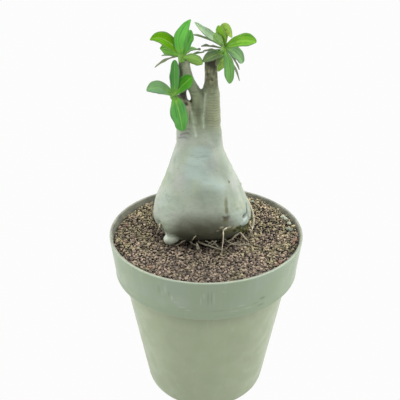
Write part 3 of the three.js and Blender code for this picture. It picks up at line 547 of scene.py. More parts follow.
# Noises: scale and detail. Bumps: height in millimetres and strength. Blends: the values that a mask
# goes from and to
NOISES = {
    "plastic_wave": (60, 1), "plastic_grain": (900, 2), "stone": (2500, 2), "bark": (700, 4),
    "leaf": (900, 2), "floor": (40, 2),
}
BUMPS = {
    "plastic": (0.35, 0.5), "stone": (0.2, 0.6), "bark": (0.16, 0.7), "root": (0.2, 0.6),
    "leaf": (0.12, 0.7), "shoot": (0.2, 0.5),
}
BLENDS = {
    "plastic_rough": (0.36, 0.46), "bark_rough": (0.62, 0.5), "leaf_rough": (0.4, 0.55),
    "floor_rough": (0.85, 0.95), "bark_gloss": (0.3, 0), "flaky_ridge": (0.55, 0.9),
    "ragged_soiled_and_shaded": (0.86, 0.96), "ring_gap": (1, 0.3),
}
RING_WAVE = {"Scale": 165.0, "Distortion": 4.0, "Detail": 3.0, "Detail Scale": 1.2}
RING_EDGE = 0.35
RAGGED_MOSS = (0.0, 0.5, 0.75, 1.0)
RELIEF_SHARES = {"plastic_grain": 0.04, "rings": -0.6, "peel": 0.4, "crust": 2.2, "leaf": 0.3}
SOIL_SHARE = 0.6
PLASTIC_GLOSS = 0.75
DUST_ROUGHNESS = 0.35
STONE_ROUGH = 0.9
ROOT_ROUGH = 0.75
SHOOT_ROUGH = 0.5
LEAF_GLOSS = 0.04
LEAF_GLOW = 0.15
LEAF_GLOW_RADIUS = (0.5, 1.0, 0.15)
LEAF_GLOW_SCALE = 0.0012

# Faces of a leaf: how much paler it is, and how far its veins stand up
LEAF_FACES = {"leaf_upper": (0.0, 0.5), "leaf_underside": (0.35, -0.6)}

# Lines on a leaf: where across or along the blade each begins and is full, and how strongly it shows
VEIN_LINE = (0.42, 0.5, 0.16)
MIDRIB_LINE = (0.1, 0.03, 0.4)
FOOT_PATCH = (0.34, 0.04, 0.6)
MARGIN = (0.7, 1.0)
VEINS = 13.0
VEIN_SLOPE = 3.2
STRIPE_DRIFT = (45, 45, 45)
STRIPE_STRETCH = (9, 1.4, 0)

# Shares that the pot's and the bark's materials use
CLOUD_LIFT = 1.08
LIP_SHARE = 0.25
LIP_BLEND = 0.2
INSIDE_DUST = 0.92
BAND_LINES = 0.45
FAINT_LINES = 0.07


def length(name, description, default):
    """A size that a user may change, in metres."""
    return bpy.props.FloatProperty(
        name=name, description=description, default=default, precision=5, unit="LENGTH",
    )


def colour(name, description, default):
    """A colour that a user may change."""
    return bpy.props.FloatVectorProperty(
        name=name, description=description, default=default, size=3, min=0.0, max=1.0, subtype="COLOR"
    )


def strength(name, description, default):
    """A light's strength that a user may change."""
    return bpy.props.FloatProperty(name=name, description=description, default=default, min=0.0)


class PotSettings(bpy.types.PropertyGroup):
    """Sizes and colour of the plastic pot."""

    rim_radius: length("Rim radius", "Outer radius at the lip", 0.075)
    height: length("Height", "Height of the pot", 0.1435)
    collar_height: length("Collar height", "Height of the band round the top", 0.0325)
    collar_foot_radius: length("Collar foot radius", "Outer radius at the band's lower edge", 0.0719)
    body_top_radius: length("Body top radius", "Outer radius just under the band", 0.0664)
    base_radius: length("Base radius", "Outer radius above the base's corner", 0.0495)
    base_corner: length("Base corner", "Radius of the rounded corner at the base", 0.006)
    wall: length("Wall", "Thickness of the wall", 0.0021)
    floor: length("Floor", "Thickness of the floor", 0.003)
    bead: length("Bead", "How far the bead at the band's foot stands out", 0.0004)
    drain_holes: bpy.props.IntProperty(
        name="Drain holes", description="Holes in the floor", default=8, min=3,
    )
    drain_radius: length("Drain hole radius", "Radius of each drain hole", 0.004)
    drain_circle: length("Drain circle", "Radius of the circle the holes stand on", 0.032)
    colour: colour("Plastic", "Colour of the plastic", (0.164, 0.201, 0.106))


class GritSettings(bpy.types.PropertyGroup):
    """Level, grain size and colours of the grit."""

    level: length("Level", "Lowest height of the grit's surface", 0.1345)
    bank: length("Bank", "How much higher the grit lies at the wall", 0.0045)
    bank_foot: length("Bank foot", "Radius where the bank begins", 0.038)
    bank_top: length("Bank top", "Radius where the bank is highest", 0.071)
    bank_tilt: length("Bank tilt", "How much the bank leans", 0.0012)
    grain_radius: length("Grain radius", "Radius of a middling grain", 0.00096)
    pitch: length("Pitch", "Distance between neighbouring grains", 0.00168)
    dark: colour("Dark grains", "Colour of the darkest grains", (0.048, 0.042, 0.034))
    light: colour("Light grains", "Colour of the lightest grains", (0.36, 0.32, 0.25))


class TrunkSettings(bpy.types.PropertyGroup):
    """Fineness and colours of the trunk."""

    voxel: length("Voxel", "Cell size that the body and its limbs are joined at", 0.0008)
    skin: colour("Skin", "Colour of the smooth grey-green skin", (0.222, 0.258, 0.2))
    stem: colour("Stem", "Colour of the younger, greener stems", (0.19, 0.225, 0.13))
    # The scar colour is also what the creases are painted with, as their shade
    scar: colour("Scar", "Colour of scars, creases and damp bark", (0.05, 0.045, 0.03))


class LeafSettings(bpy.types.PropertyGroup):
    """Thickness and colours of the leaves."""

    thickness: length("Thickness", "Thickness of a blade", 0.0005)
    stalk: colour("Stalk", "Colour of a blade near its stalk", (0.17, 0.4, 0.03))
    rib: colour("Rib", "Colour of the midrib and the veins", (0.26, 0.45, 0.1))
    underside: colour("Underside", "Colour that the undersides lean to", (0.16, 0.27, 0.09))


class StageSettings(bpy.types.PropertyGroup):
    """Floor, light and camera."""

    floor_radius: length("Floor radius", "Radius of the pale floor", 7.0)
    rear_light: strength("Rear light", "Light from behind", 0.65)
    side_light: strength("Side light", "Light from both sides", 3.2)
    top_light: strength("Top light", "Soft light from above", 3.0)
    floor_glow: strength("Floor glow", "Light from the floor itself", 0.9)


def catmull(share_along, before, start, end, after):
    """One value of a smooth curve between start and end."""
    leaving = (end - before) / 2
    arriving = (after - start) / 2
    cube = 2 * start - 2 * end + leaving + arriving
    square = -3 * start + 3 * end - 2 * leaving - arriving
    return ((cube * share_along + square) * share_along + leaving) * share_along + start


def along(rows, place):
    """Reads a smooth curve through rows of numbers, at a place counted in rows."""
    last = len(rows) - 1
    row = min(int(place), last - 1)
    near = [rows[min(max(row + step, 0), last)] for step in (-1, 0, 1, 2)]
    return [catmull(place - row, *column) for column in zip(*near)]


def even_places(rows, steps):
    """Places from the first row to the last, in equal steps."""
    return [(len(rows) - 1) * step / steps for step in range(steps + 1)]


def unit_tube(bm, sides, rings):
    """Adds a closed tube of radius 1 whose rings lie at heights 0, 1, 2 and so on."""
    line = [bm.verts.new((1, 0, ring)) for ring in range(rings + 1)]
    edges = [bm.edges.new(pair) for pair in zip(line, line[1:])]
    bmesh.ops.spin(
        bm, geom=line + edges, cent=(0, 0, 0), axis=(0, 0, 1), dvec=(0, 0, 0),
        angle=2 * math.pi, steps=sides, use_merge=True,
    )
    made = [vert for vert in bm.verts if vert.tag is False]
    ends = [edge for edge in bm.edges if edge.is_boundary and not edge.verts[0].tag]
    bmesh.ops.holes_fill(bm, edges=ends, sides=0)
    return made


def grow_limb(bm, stations, sides, steps_each):
    """Adds a round limb through stations of x, y, z and radius in millimetres."""
    steps = steps_each * (len(stations) - 1)
    rows = [along(stations, place) for place in even_places(stations, steps)]
    points = [Vector(row[:3]) for row in rows]
    turns = []
    turn = (points[1] - points[0]).to_track_quat("Z", "Y")
    for ring in range(steps + 1):
        ahead = points[min(ring + 1, steps)] - points[max(ring - 1, 0)]
        turn = (turn @ Vector((0, 0, 1))).rotation_difference(ahead) @ turn
        turns.append(turn)
    made = unit_tube(bm, sides, steps)
    for vert in made:
        ring = round(vert.co.z)
        flat = Vector((vert.co.x, vert.co.y, 0)) * max(rows[ring][3], LIMB_END)
        vert.co = (points[ring] + turns[ring] @ flat) * MM
        vert.tag = True
    return made


def lump_at(angle, height):
    """How far the trunk swells at an angle and height, as a share of its radius."""
    return 1 + sum(
        size * math.sin(waves * angle + twist * height + start) for size, waves, twist, start in LUMPS
    )


def undercut(angle, height):
    """How far the foot is cut back at an angle and height."""
    drop = min(max((UNDERCUT_TOP - height) / UNDERCUT_HEIGHT, 0), 1)
    facing = max(math.cos(angle + UNDERCUT_TURN), 0)
    return UNDERCUT_DEPTH * facing ** UNDERCUT_SPREAD * drop ** UNDERCUT_POWER


def grow_trunk_body(bm):
    """Adds the swollen body, wide and round at the grit and flattened towards the fork."""
    steps = TRUNK_RINGS_EACH * (len(TRUNK_STATIONS) - 1)
    rows = [along(TRUNK_STATIONS, place) for place in even_places(TRUNK_STATIONS, steps)]
    for vert in unit_tube(bm, TRUNK_SIDES, steps):
        height, centre, half_width, depth = rows[round(vert.co.z)]
        angle = math.atan2(vert.co.y, vert.co.x)
        reach = max(half_width * lump_at(angle, height) - undercut(angle, height), LEAST_REACH)
        vert.co = Vector((
            centre + reach * math.cos(angle),
            TRUNK_CENTRE_Y + reach * depth * math.sin(angle),
            height,
        )) * MM
        vert.tag = True


def placed(name, mesh):
    """A new object at the origin that holds a mesh."""
    piece = bpy.data.objects.new(name, mesh)
    bpy.context.scene.collection.objects.link(piece)
    return piece


def mesh_from(bm, name):
    """Empties a bmesh into a new mesh with its faces pointing outwards."""
    bmesh.ops.recalc_face_normals(bm, faces=bm.faces)
    mesh = bpy.data.meshes.new(name)
    bm.to_mesh(mesh)
    bm.free()
    return mesh


def settled(piece):
    """Applies a piece's modifiers to its mesh."""
    evaluated = piece.evaluated_get(bpy.context.evaluated_depsgraph_get())
    mesh = bpy.data.meshes.new_from_object(evaluated)
    piece.modifiers.clear()
    old = piece.data
    piece.data = mesh
    bpy.data.meshes.remove(old)
    mesh.name = piece.name
    return piece


def dress(piece, nodes, slot, *materials):
    """Gives a piece its materials and ties it to the frame."""
    for material in materials:
        piece.data.materials.append(material)
    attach(piece, "root")
    if nodes:
        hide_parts(*nodes)
    return piece


class Shade:
    """Adds nodes to one shader tree, a call to a node."""

    def __init__(self, tree):
        self.tree = tree

    def add(self, kind, inputs=None, **settings):
        node = self.tree.nodes.new(kind)
        for name, value in settings.items():
            setattr(node, name, value)
        for name, value in (inputs or {}).items():
            self.feed(node.inputs[name], value)
        return node

    def feed(self, socket, value):
        if isinstance(value, bpy.types.NodeSocket):
            self.tree.links.new(value, socket)
        elif socket.type == "RGBA":
            socket.default_value = rgba(value)
        else:
            socket.default_value = value

    def maths(self, operation, *values):
        return self.add("ShaderNodeMath", dict(enumerate(values)), operation=operation).outputs[0]

    def times(self, first, second):
        return self.maths("MULTIPLY", first, second)

    def vectors(self, operation, *values):
        return self.add("ShaderNodeVectorMath", dict(enumerate(values)), operation=operation).outputs

    def blend(self, mask, name):
        return self.ramp(mask, 0.0, 1.0, *BLENDS[name])

    def axis(self, vector, name):
        return self.add("ShaderNodeSeparateXYZ", {0: vector}).outputs[name]

    def attribute(self, name, output):
        return self.add("ShaderNodeAttribute", attribute_name=name).outputs[output]

    def noise(self, place, scale, detail):
        node = self.add("ShaderNodeTexNoise", {"Vector": place, "Scale": scale, "Detail": detail})
        return node.outputs[0]

    def relief(self, heights, name):
        distance, strength = BUMPS[name]
        given = {"Strength": strength, "Distance": distance * MM, "Height": heights}
        return self.add("ShaderNodeBump", given).outputs[0]

    def mix(self, factor, first, second, blend="MIX"):
        node = self.add("ShaderNodeMix", data_type="RGBA", blend_type=blend)
        for place, value in zip(MIX_SOCKETS, (factor, first, second)):
            self.feed(node.inputs[place], value)
        return node.outputs[MIX_RESULT]

    def coat(self, tone, mask, name, blend="MIX"):
        colour, share = COATS[name]
        return self.mix(self.times(mask, share), tone, colour, blend)

    def ramp(self, value, low, high, to_low=0.0, to_high=1.0):
        node = self.add("ShaderNodeMapRange", {0: value, 1: low, 2: high, 3: to_low, 4: to_high})
        node.interpolation_type = "SMOOTHSTEP"
        return node.outputs[0]

    def step(self, value, name):
        low, high, *reach = SOFT_STEPS[name]
        return self.ramp(value, low * MM, high * MM, *reach)

    def group(self, name, inputs):
        node = self.add("ShaderNodeGroup", node_tree=bpy.data.node_groups[name])
        for key, value in inputs.items():
            self.feed(node.inputs[key], value)
        return node.outputs[0]

    def cloud(self, place, name):
        stretch, scale, detail, low, high = CLOUDS[name]
        return self.group("mottle", {
            "Place": place, "Stretch": stretch, "Scale": scale, "Detail": detail, "Low": low, "High": high,
        })

    def spot(self, place, centre, size, edge, strength=1.0):
        return self.group("spot", {
            "Place": place, "Centre": Vector(centre) * MM, "Size": Vector(size) * MM,
            "Edge": edge, "Strength": strength,
        })


def rgba(values):
    """A colour with full alpha."""
    return (*values[:3], 1.0)


def new_group(name, inputs):
    """Starts a node group that puts out one mask."""
    tree = bpy.data.node_groups.new(name, "ShaderNodeTree")
    for label, kind, default in inputs:
        socket = tree.interface.new_socket(label, in_out="INPUT", socket_type="NodeSocket" + kind)
        socket.default_value = default
    tree.interface.new_socket("Mask", in_out="OUTPUT", socket_type="NodeSocketFloat")
    shade = Shade(tree)
    return shade, shade.add("NodeGroupInput").outputs, shade.add("NodeGroupOutput").inputs[0]


def make_mottle_group():
    """Soft patches from stretched noise, cut at two levels."""
    shade, given, mask = new_group("mottle", [
        ("Place", "Vector", (0, 0, 0)), ("Stretch", "Vector", (1, 1, 1)), ("Scale", "Float", 50.0),
        ("Detail", "Float", 3.0), ("Low", "Float", 0.4), ("High", "Float", 0.6),
    ])
    stretched = shade.vectors("MULTIPLY", given["Place"], given["Stretch"])[0]
    cloud = shade.noise(stretched, given["Scale"], given["Detail"])
    shade.feed(mask, shade.ramp(cloud, given["Low"], given["High"]))


def make_spot_group():
    """A soft-edged ellipsoid that marks one place on a surface."""
    shade, given, mask = new_group("spot", [
        ("Place", "Vector", (0, 0, 0)), ("Centre", "Vector", (0, 0, 0)), ("Size", "Vector", (1, 1, 1)),
        ("Edge", "Float", 0.5), ("Strength", "Float", 1.0),
    ])
    offset = shade.vectors("SUBTRACT", given["Place"], given["Centre"])[0]
    scaled = shade.vectors("DIVIDE", offset, given["Size"])[0]
    reach = shade.vectors("LENGTH", scaled)["Value"]
    inner = shade.maths("SUBTRACT", 1.0, given["Edge"])
    shade.feed(mask, shade.times(shade.ramp(reach, 1.0, inner), given["Strength"]))


def new_material(name):
    """Starts a material: its nodes, its shader's inputs and its object coordinates."""
    material = bpy.data.materials.new(name)
    material.use_nodes = True
    shade = Shade(material.node_tree)
    shader = material.node_tree.nodes["Principled BSDF"]
    place = shade.add("ShaderNodeTexCoord").outputs["Object"]
    return material, shade, shader.inputs, place


def spots(shade, place, base, tint, edge, table):
    """Lays soft marks of one tint over a base colour."""
    for centre, size, strength in table:
        base = shade.mix(shade.spot(place, centre, size, edge, strength), base, tint)
    return base


def inside_mask(settings, shade, place, height):
    """Marks the inner side of the collar and the lip's inner half."""
    flat = shade.vectors("MULTIPLY", place, (1, 1, 0))[0]
    radius = shade.vectors("LENGTH", flat)["Value"]
    lean = (settings.rim_radius - settings.collar_foot_radius) / settings.collar_height
    reach = shade.maths("MULTIPLY_ADD", height, -lean, radius)
    edge = settings.rim_radius - lean * settings.height - LIP_SHARE * settings.wall
    inside = shade.ramp(reach, edge, edge - LIP_BLEND * settings.wall)
    foot = settings.height - settings.collar_height
    return shade.times(inside, shade.ramp(height, foot, foot + settings.wall))


def pot_plastic(settings):
    """Sage plastic, softly mottled and scuffed, with dust on the inside, a painted shadow under the
    collar, painted shade down the front, a painted shadow line under the bead, and painted highlights on
    the bead and the front of the lip.
    """
    material, shade, shader, place = new_material("pot_plastic")
    height = shade.axis(place, "Z")
    depth = shade.axis(place, "Y")
    over_foot = shade.maths("SUBTRACT", height, settings.height - settings.collar_height)
    tone = shade.mix(shade.cloud(place, "plastic"), settings.colour, Vector(settings.colour) * CLOUD_LIFT)
    shadow = shade.times(shade.step(over_foot, "shadow"), shade.step(over_foot, "shadow_end"))
    tone = shade.coat(tone, shade.times(shadow, shade.step(depth, "front")), "shadow")
    tone = shade.coat(tone, shade.step(over_foot, "collar"), "collar")
    blue = shade.times(shade.cloud(place, "collar_blue"), shade.step(over_foot, "upper_collar"))
    tone = shade.coat(tone, blue, "collar_blue")
    # Painted shade darkens the pot down the middle of its front
    tone = shade.coat(tone, shade.step(depth, "middle"), "middle")
    # A painted shadow line on the body just under the collar's foot, and a painted highlight along the
    # bead
    for name in ("crack", "bead"):
        tone = shade.coat(tone, shade.spot(place, *PATCHES[name]), name)
    for name in ("pale_streak", "dark_streak"):
        tone = shade.coat(tone, shade.cloud(place, name), name)
    for marks in POT_MARKS:
        tone = spots(shade, place, tone, *marks)
    # The lip is painted pale along its front as a highlight, and darker along its back
    behind = shade.step(depth, "behind")
    lip_tone = shade.mix(shade.ramp(behind, *SOFT_STEPS["behind"][2:]), TONES["lip"], TONES["lip_behind"])
    lip = shade.times(shade.step(over_foot, "lip"), shade.maths("ABSOLUTE", behind))
    tone = shade.mix(lip, tone, lip_tone)
    dusty = shade.mix(shade.cloud(place, "pot_dust"), TONES["dark_dust"], TONES["pale_dust"])
    inside = inside_mask(settings, shade, place, height)
    tone = shade.mix(shade.times(inside, INSIDE_DUST), tone, dusty)
    shade.feed(shader["Base Color"], tone)
    worn = shade.blend(shade.cloud(place, "haze"), "plastic_rough")
    shade.feed(shader["Roughness"], shade.maths("MULTIPLY_ADD", inside, DUST_ROUGHNESS, worn))
    shader["Specular IOR Level"].default_value = PLASTIC_GLOSS
    wave = shade.noise(place, *NOISES["plastic_wave"])
    grain = shade.noise(place, *NOISES["plastic_grain"])
    heights = shade.maths("MULTIPLY_ADD", grain, RELIEF_SHARES["plastic_grain"], wave)
    shade.feed(shader["Normal"], shade.relief(heights, "plastic"))
    return material


def grit_stone():
    """Small angular stones, each in a colour of its own."""
    material, shade, shader, place = new_material("grit_stone")
    own = shade.attribute("grain_colour", "Color")
    shade.feed(shader["Base Color"], shade.coat(own, shade.cloud(place, "fleck"), "fleck", "MULTIPLY"))
    shader["Roughness"].default_value = STONE_ROUGH
    shade.feed(shader["Normal"], shade.relief(shade.noise(place, *NOISES["stone"]), "stone"))
    return material


def stem_tone(settings, shade, place, peel, hoops):
    """Colour of the stems, ringed low down and flaky at the top, with its rings and its flakes."""
    tone = shade.mix(peel, settings.stem, TONES["peeled_stem"])
    tone = shade.coat(tone, hoops, "hoops")
    wave = shade.add("ShaderNodeTexWave", {"Vector": place, **RING_WAVE}, bands_direction="Z").outputs[1]
    ringed = shade.spot(place, *PATCHES["ringed"])
    rings = shade.times(shade.ramp(wave, RING_EDGE, 0.0), shade.blend(hoops, "ring_gap"))
    rings = shade.times(rings, ringed)
    tone = shade.coat(tone, ringed, "ringed")
    tone = shade.coat(tone, rings, "stem_rings")
    old = shade.mix(shade.cloud(place, "speck"), TONES["dark_old"], TONES["pale_old"])
    tone = shade.mix(shade.spot(place, *PATCHES["old_top"]), tone, old)
    flakes = shade.cloud(place, "flakes")
    tone = shade.coat(tone, shade.times(shade.spot(place, *PATCHES["flaky"]), flakes), "flakes")
    return tone, rings, flakes


def bark(settings):
    """Smooth grey-green skin with bluish patches, faint rings, scars and moss; its foot's underside is
    soiled and painted dark as shade, painted shade lies in its creases and behind the leaves, and the toe
    has a painted highlight.
    """
    material, shade, shader, place = new_material("bark")
    stain, pale, under = (shade.attribute(name, "Fac") for name in ("stain", "pale", "under"))
    skin, rings, peel, hoops, ragged = (
        shade.cloud(place, name) for name in ("skin", "rings", "peel", "hoops", "ragged")
    )
    tone = shade.mix(skin, settings.skin, TONES["pale_skin"])
    tone = spots(shade, place, tone, *BARK_MARKS["blue"])
    for name in ("blue", "olive"):
        tone = shade.coat(tone, shade.cloud(place, name), name)
    young = shade.step(shade.axis(place, "Z"), "young")
    stem, stem_rings, flakes = stem_tone(settings, shade, place, peel, hoops)
    tone = shade.mix(young, tone, stem)
    tone = shade.coat(tone, shade.times(pale, shade.blend(flakes, "flaky_ridge")), "pale")
    for name in ("dust", "blotch"):
        tone = shade.coat(tone, shade.cloud(place, name), name)
    # The foot's underside is painted dark, as soiled bark and as shade under the overhang
    tone = shade.coat(tone, shade.times(under, shade.blend(ragged, "ragged_soiled_and_shaded")), "soiled_and_shaded")
    for name in list(BARK_MARKS)[1:]:
        tone = spots(shade, place, tone, *BARK_MARKS[name])
    lines = shade.maths("MULTIPLY_ADD", shade.spot(place, *PATCHES["banded"]), BAND_LINES, FAINT_LINES)
    tone = shade.coat(tone, shade.times(rings, lines), "rings")
    moss = spots(shade, place, BLACK, WHITE, *MOSS)
    growth = shade.mix(shade.cloud(place, "tuft"), TONES["dark_moss"], TONES["pale_moss"])
    tone = shade.mix(shade.times(moss, shade.ramp(ragged, *RAGGED_MOSS)), tone, growth)
    tone = spots(shade, place, tone, *BARK_MARKS["white"])
    # The creases are painted dark, as the shade in them
    tone = shade.mix(stain, tone, settings.scar)
    shade.feed(shader["Base Color"], tone)
    shade.feed(shader["Roughness"], shade.maths("MAXIMUM", shade.blend(skin, "bark_rough"), moss))
    shade.feed(shader["Specular IOR Level"], shade.blend(moss, "bark_gloss"))
    fine = shade.noise(place, *NOISES["bark"])
    heights = shade.maths("MULTIPLY_ADD", rings, RELIEF_SHARES["rings"], fine)
    raised = shade.times(peel, RELIEF_SHARES["peel"])
    crust = shade.maths("SUBTRACT", raised, shade.maths("ADD", hoops, stem_rings))
    heights = shade.maths("MULTIPLY_ADD", crust, shade.times(young, RELIEF_SHARES["crust"]), heights)
    shade.feed(shader["Normal"], shade.relief(heights, "bark"))
    return material


def root_skin():
    """Dry beige root with short rings, a dusting of soil, and painted shade low down near the grit."""
    material, shade, shader, place = new_material("root_skin")
    rings = shade.cloud(place, "root_rings")
    tone = shade.mix(rings, TONES["pale_root"], TONES["dark_root"])
    # Painted shade: the roots are darker low down, near the grit
    low = shade.step(shade.axis(place, "Z"), "root_foot_shade")
    soil = shade.maths("MAXIMUM", low, shade.times(shade.cloud(place, "root_soil"), SOIL_SHARE))
    shade.feed(shader["Base Color"], shade.coat(tone, soil, "soil"))
    shader["Roughness"].default_value = ROOT_ROUGH
    shade.feed(shader["Normal"], shade.relief(rings, "root"))
    return material


def leaf_skin(name, settings, paler, rib_raise):
    """A leaf's face: its given colour, darker stripes and pale stripes of painted sheen, a pale midrib,
    side veins and a thin dull margin.
    """
    material, shade, shader, place = new_material(name)
    tone = shade.attribute("leaf_colour", "Color")
    spread = shade.add("ShaderNodeUVMap", uv_map="blade").outputs[0]
    lengthwise = shade.axis(spread, "Y")
    across = shade.maths("ABSOLUTE", shade.maths("MULTIPLY_ADD", shade.axis(spread, "X"), 2.0, -1.0))
    cloud = shade.cloud(place, "leaf")
    tone = shade.coat(tone, cloud, "leaf", "MULTIPLY")
    drift = shade.vectors("MULTIPLY", place, STRIPE_DRIFT)[0]
    blade = shade.vectors("MULTIPLY_ADD", spread, STRIPE_STRETCH, drift)[0]
    # The pale stripes are a painted sheen along the blade
    for stripe in ("dark_stripe", "sheen_stripe"):
        tone = shade.coat(tone, shade.cloud(blade, stripe), stripe, "MULTIPLY")
    tone = shade.mix(paler, tone, settings.underside)
    reach = shade.maths("MULTIPLY_ADD", across, -VEIN_SLOPE, shade.times(lengthwise, VEINS))
    between = shade.maths("PINGPONG", reach, 0.5)
    vein = shade.ramp(between, *VEIN_LINE[:2])
    for value, (low, high, share), tint in (
        (between, VEIN_LINE, settings.rib), (across, MIDRIB_LINE, settings.rib),
        (lengthwise, FOOT_PATCH, settings.stalk),
    ):
        tone = shade.mix(shade.times(shade.ramp(value, low, high), share), tone, tint)
    tone = shade.coat(tone, shade.ramp(across, *MARGIN), "margin")
    shade.feed(shader["Base Color"], tone)
    shade.feed(shader["Roughness"], shade.blend(cloud, "leaf_rough"))
    fine = shade.times(shade.noise(place, *NOISES["leaf"]), RELIEF_SHARES["leaf"])
    heights = shade.maths("MULTIPLY_ADD", vein, rib_raise, fine)
    shade.feed(shader["Normal"], shade.relief(heights, "leaf"))
    shader["Specular IOR Level"].default_value = LEAF_GLOSS
    shader["Subsurface Weight"].default_value = LEAF_GLOW
    shader["Subsurface Radius"].default_value = LEAF_GLOW_RADIUS
    shader["Subsurface Scale"].default_value = LEAF_GLOW_SCALE
    return material


def green_bark():
    """Fresh green skin of the leafy shoots, browner on the thick right one."""
    material, shade, shader, place = new_material("green_bark")
    cloud = shade.cloud(place, "shoot")
    fresh = shade.mix(cloud, TONES["dark_shoot"], TONES["pale_shoot"])
    brown = shade.mix(cloud, TONES["dark_brown"], TONES["pale_brown"])
    side = shade.axis(place, "X")
    thick = shade.mix(shade.step(side, "thick_from"), fresh, brown)
    shade.feed(shader["Base Color"], shade.mix(shade.step(side, "thick_to"), fresh, thick))
    shader["Roughness"].default_value = SHOOT_ROUGH
    shade.feed(shader["Normal"], shade.relief(cloud, "shoot"))
    return material


def floor_paint(settings):
    """Even, pale studio floor that glows softly and shows white to the camera."""
    material, shade, shader, place = new_material("floor_paint")
    shade.feed(shader["Roughness"], shade.blend(shade.noise(place, *NOISES["floor"]), "floor_rough"))
    seen = shade.add("ShaderNodeLightPath").outputs["Is Camera Ray"]
    shade.feed(shader["Base Color"], shade.mix(seen, FLOOR_GREY, BLACK))
    shader["Emission Color"].default_value = rgba(STUDIO_WHITE)
    glow = settings.floor_glow
    shade.feed(shader["Emission Strength"], shade.maths("MULTIPLY_ADD", seen, 1 - glow, glow))
    shader["Specular IOR Level"].default_value = 0
    return material


def pot_profile(settings):
    """Radius, height and corner radius of each point from the base, over the lip, to the floor."""
    top = settings.height
    collar_foot = top - settings.collar_height
    bead_top = collar_foot + BEAD_HEIGHT
    foot = settings.collar_foot_radius
    bead = foot + settings.bead
    body = settings.body_top_radius
    base = settings.base_radius
    wall = settings.wall
    rim = settings.rim_radius
    lean = (rim - foot) / settings.collar_height
    body_corner, bead_foot, bead_corner, bead_end = PROFILE_CORNERS
    return [
        (0, 0, 0), (base, 0, settings.base_corner), (body, collar_foot, body_corner),
        (bead, collar_foot, bead_foot), (bead, bead_top, bead_corner),
        (foot + lean * (BEAD_HEIGHT + settings.bead), bead_top + settings.bead, bead_end),
        (rim, top, LIP_CORNER), (rim - wall, top, LIP_CORNER),
        (foot + FOOT_SLACK - wall, collar_foot + wall, INNER_STEP),
        (body - wall, collar_foot - INNER_STEP, INNER_STEP),
        (base - wall, settings.floor, FLOOR_CORNER), (0, settings.floor, 0),
    ]


def spin_pot(settings):
    """Turns the rounded profile once round."""
    bm = bmesh.new()
    table = pot_profile(settings)
    line = [bm.verts.new((radius, 0, height)) for radius, height, corner in table]
    for pair in zip(line, line[1:]):
        bm.edges.new(pair)
    for vert, (radius, height, corner) in zip(line, table):
        if corner:
            bmesh.ops.bevel(
                bm, geom=[vert], affect="VERTICES", offset=corner, offset_type="OFFSET",
                segments=CORNER_STEPS, profile=0.5, material=-1,
            )
    bmesh.ops.spin(
        bm, geom=bm.verts[:] + bm.edges[:], cent=(0, 0, 0), axis=(0, 0, 1), dvec=(0, 0, 0),
        angle=2 * math.pi, steps=POT_SIDES, use_merge=True,
    )
    bmesh.ops.remove_doubles(bm, verts=bm.verts, dist=MERGE_REACH)
    return mesh_from(bm, "pot_shell")


def drill_rods(settings):
    """Rods that stand where the drain holes go."""
    bm = bmesh.new()
    for hole in range(settings.drain_holes):
        angle = 2 * math.pi * hole / settings.drain_holes
        place = Matrix.Rotation(angle, 4, "Z") @ Matrix.Translation((settings.drain_circle, 0, 0))
        bmesh.ops.create_cone(
            bm, cap_ends=True, segments=ROD_SIDES, depth=4 * settings.floor, matrix=place,
            radius1=settings.drain_radius, radius2=settings.drain_radius,
        )
    return placed("drain_rods", mesh_from(bm, "drain_rods"))


class ADENIUM_OT_pot(bpy.types.Operator):
    """Turn the pot from its profile and drill its drain holes"""

    bl_idname = "adenium.pot"
    bl_label = "Pot"

    def execute(self, context):
        settings = context.scene.adenium_pot
        pot = placed("pot_shell", spin_pot(settings))
        rods = drill_rods(settings)
        cut = pot.modifiers.new("drain_holes", "BOOLEAN")
        cut.operation = "DIFFERENCE"
        cut.object = rods
        settled(pot)
        bpy.data.objects.remove(rods)
        pot.data.shade_smooth()
        pot.data.set_sharp_from_angle(angle=SHARP_ANGLE)
        dress(pot, ["pot"], "pot_plastic", pot_plastic(settings))
        return {"FINISHED"}


def inner_radius(settings, height):
    """Inside radius of the pot's collar at a height."""
    collar_foot = settings.height - settings.collar_height
    rise = (height - collar_foot) / settings.collar_height
    outer = settings.collar_foot_radius + rise * (settings.rim_radius - settings.collar_foot_radius)
    return outer - settings.wall


def ground(settings, x, y):
    """Height of the grit's uneven surface, which banks up towards the wall."""
    swell = noise.noise(Vector((x, y, 0)) * SWELL_SCALE)
    swell += 0.5 * noise.noise(Vector((x, y, RIPPLE_SHIFT)) * RIPPLE_SCALE)
    rise = (math.hypot(x, y) - settings.bank_foot) / (settings.bank_top - settings.bank_foot)
    rise = min(max(rise, 0), 1)
    tilt = settings.bank_tilt * math.cos(math.atan2(y, x) - BANK_TILT_ANGLE)
    bank = rise * rise * (3 - 2 * rise) * (settings.bank + tilt)
    return settings.level + bank + GROUND_SWELL * (0.5 + swell)


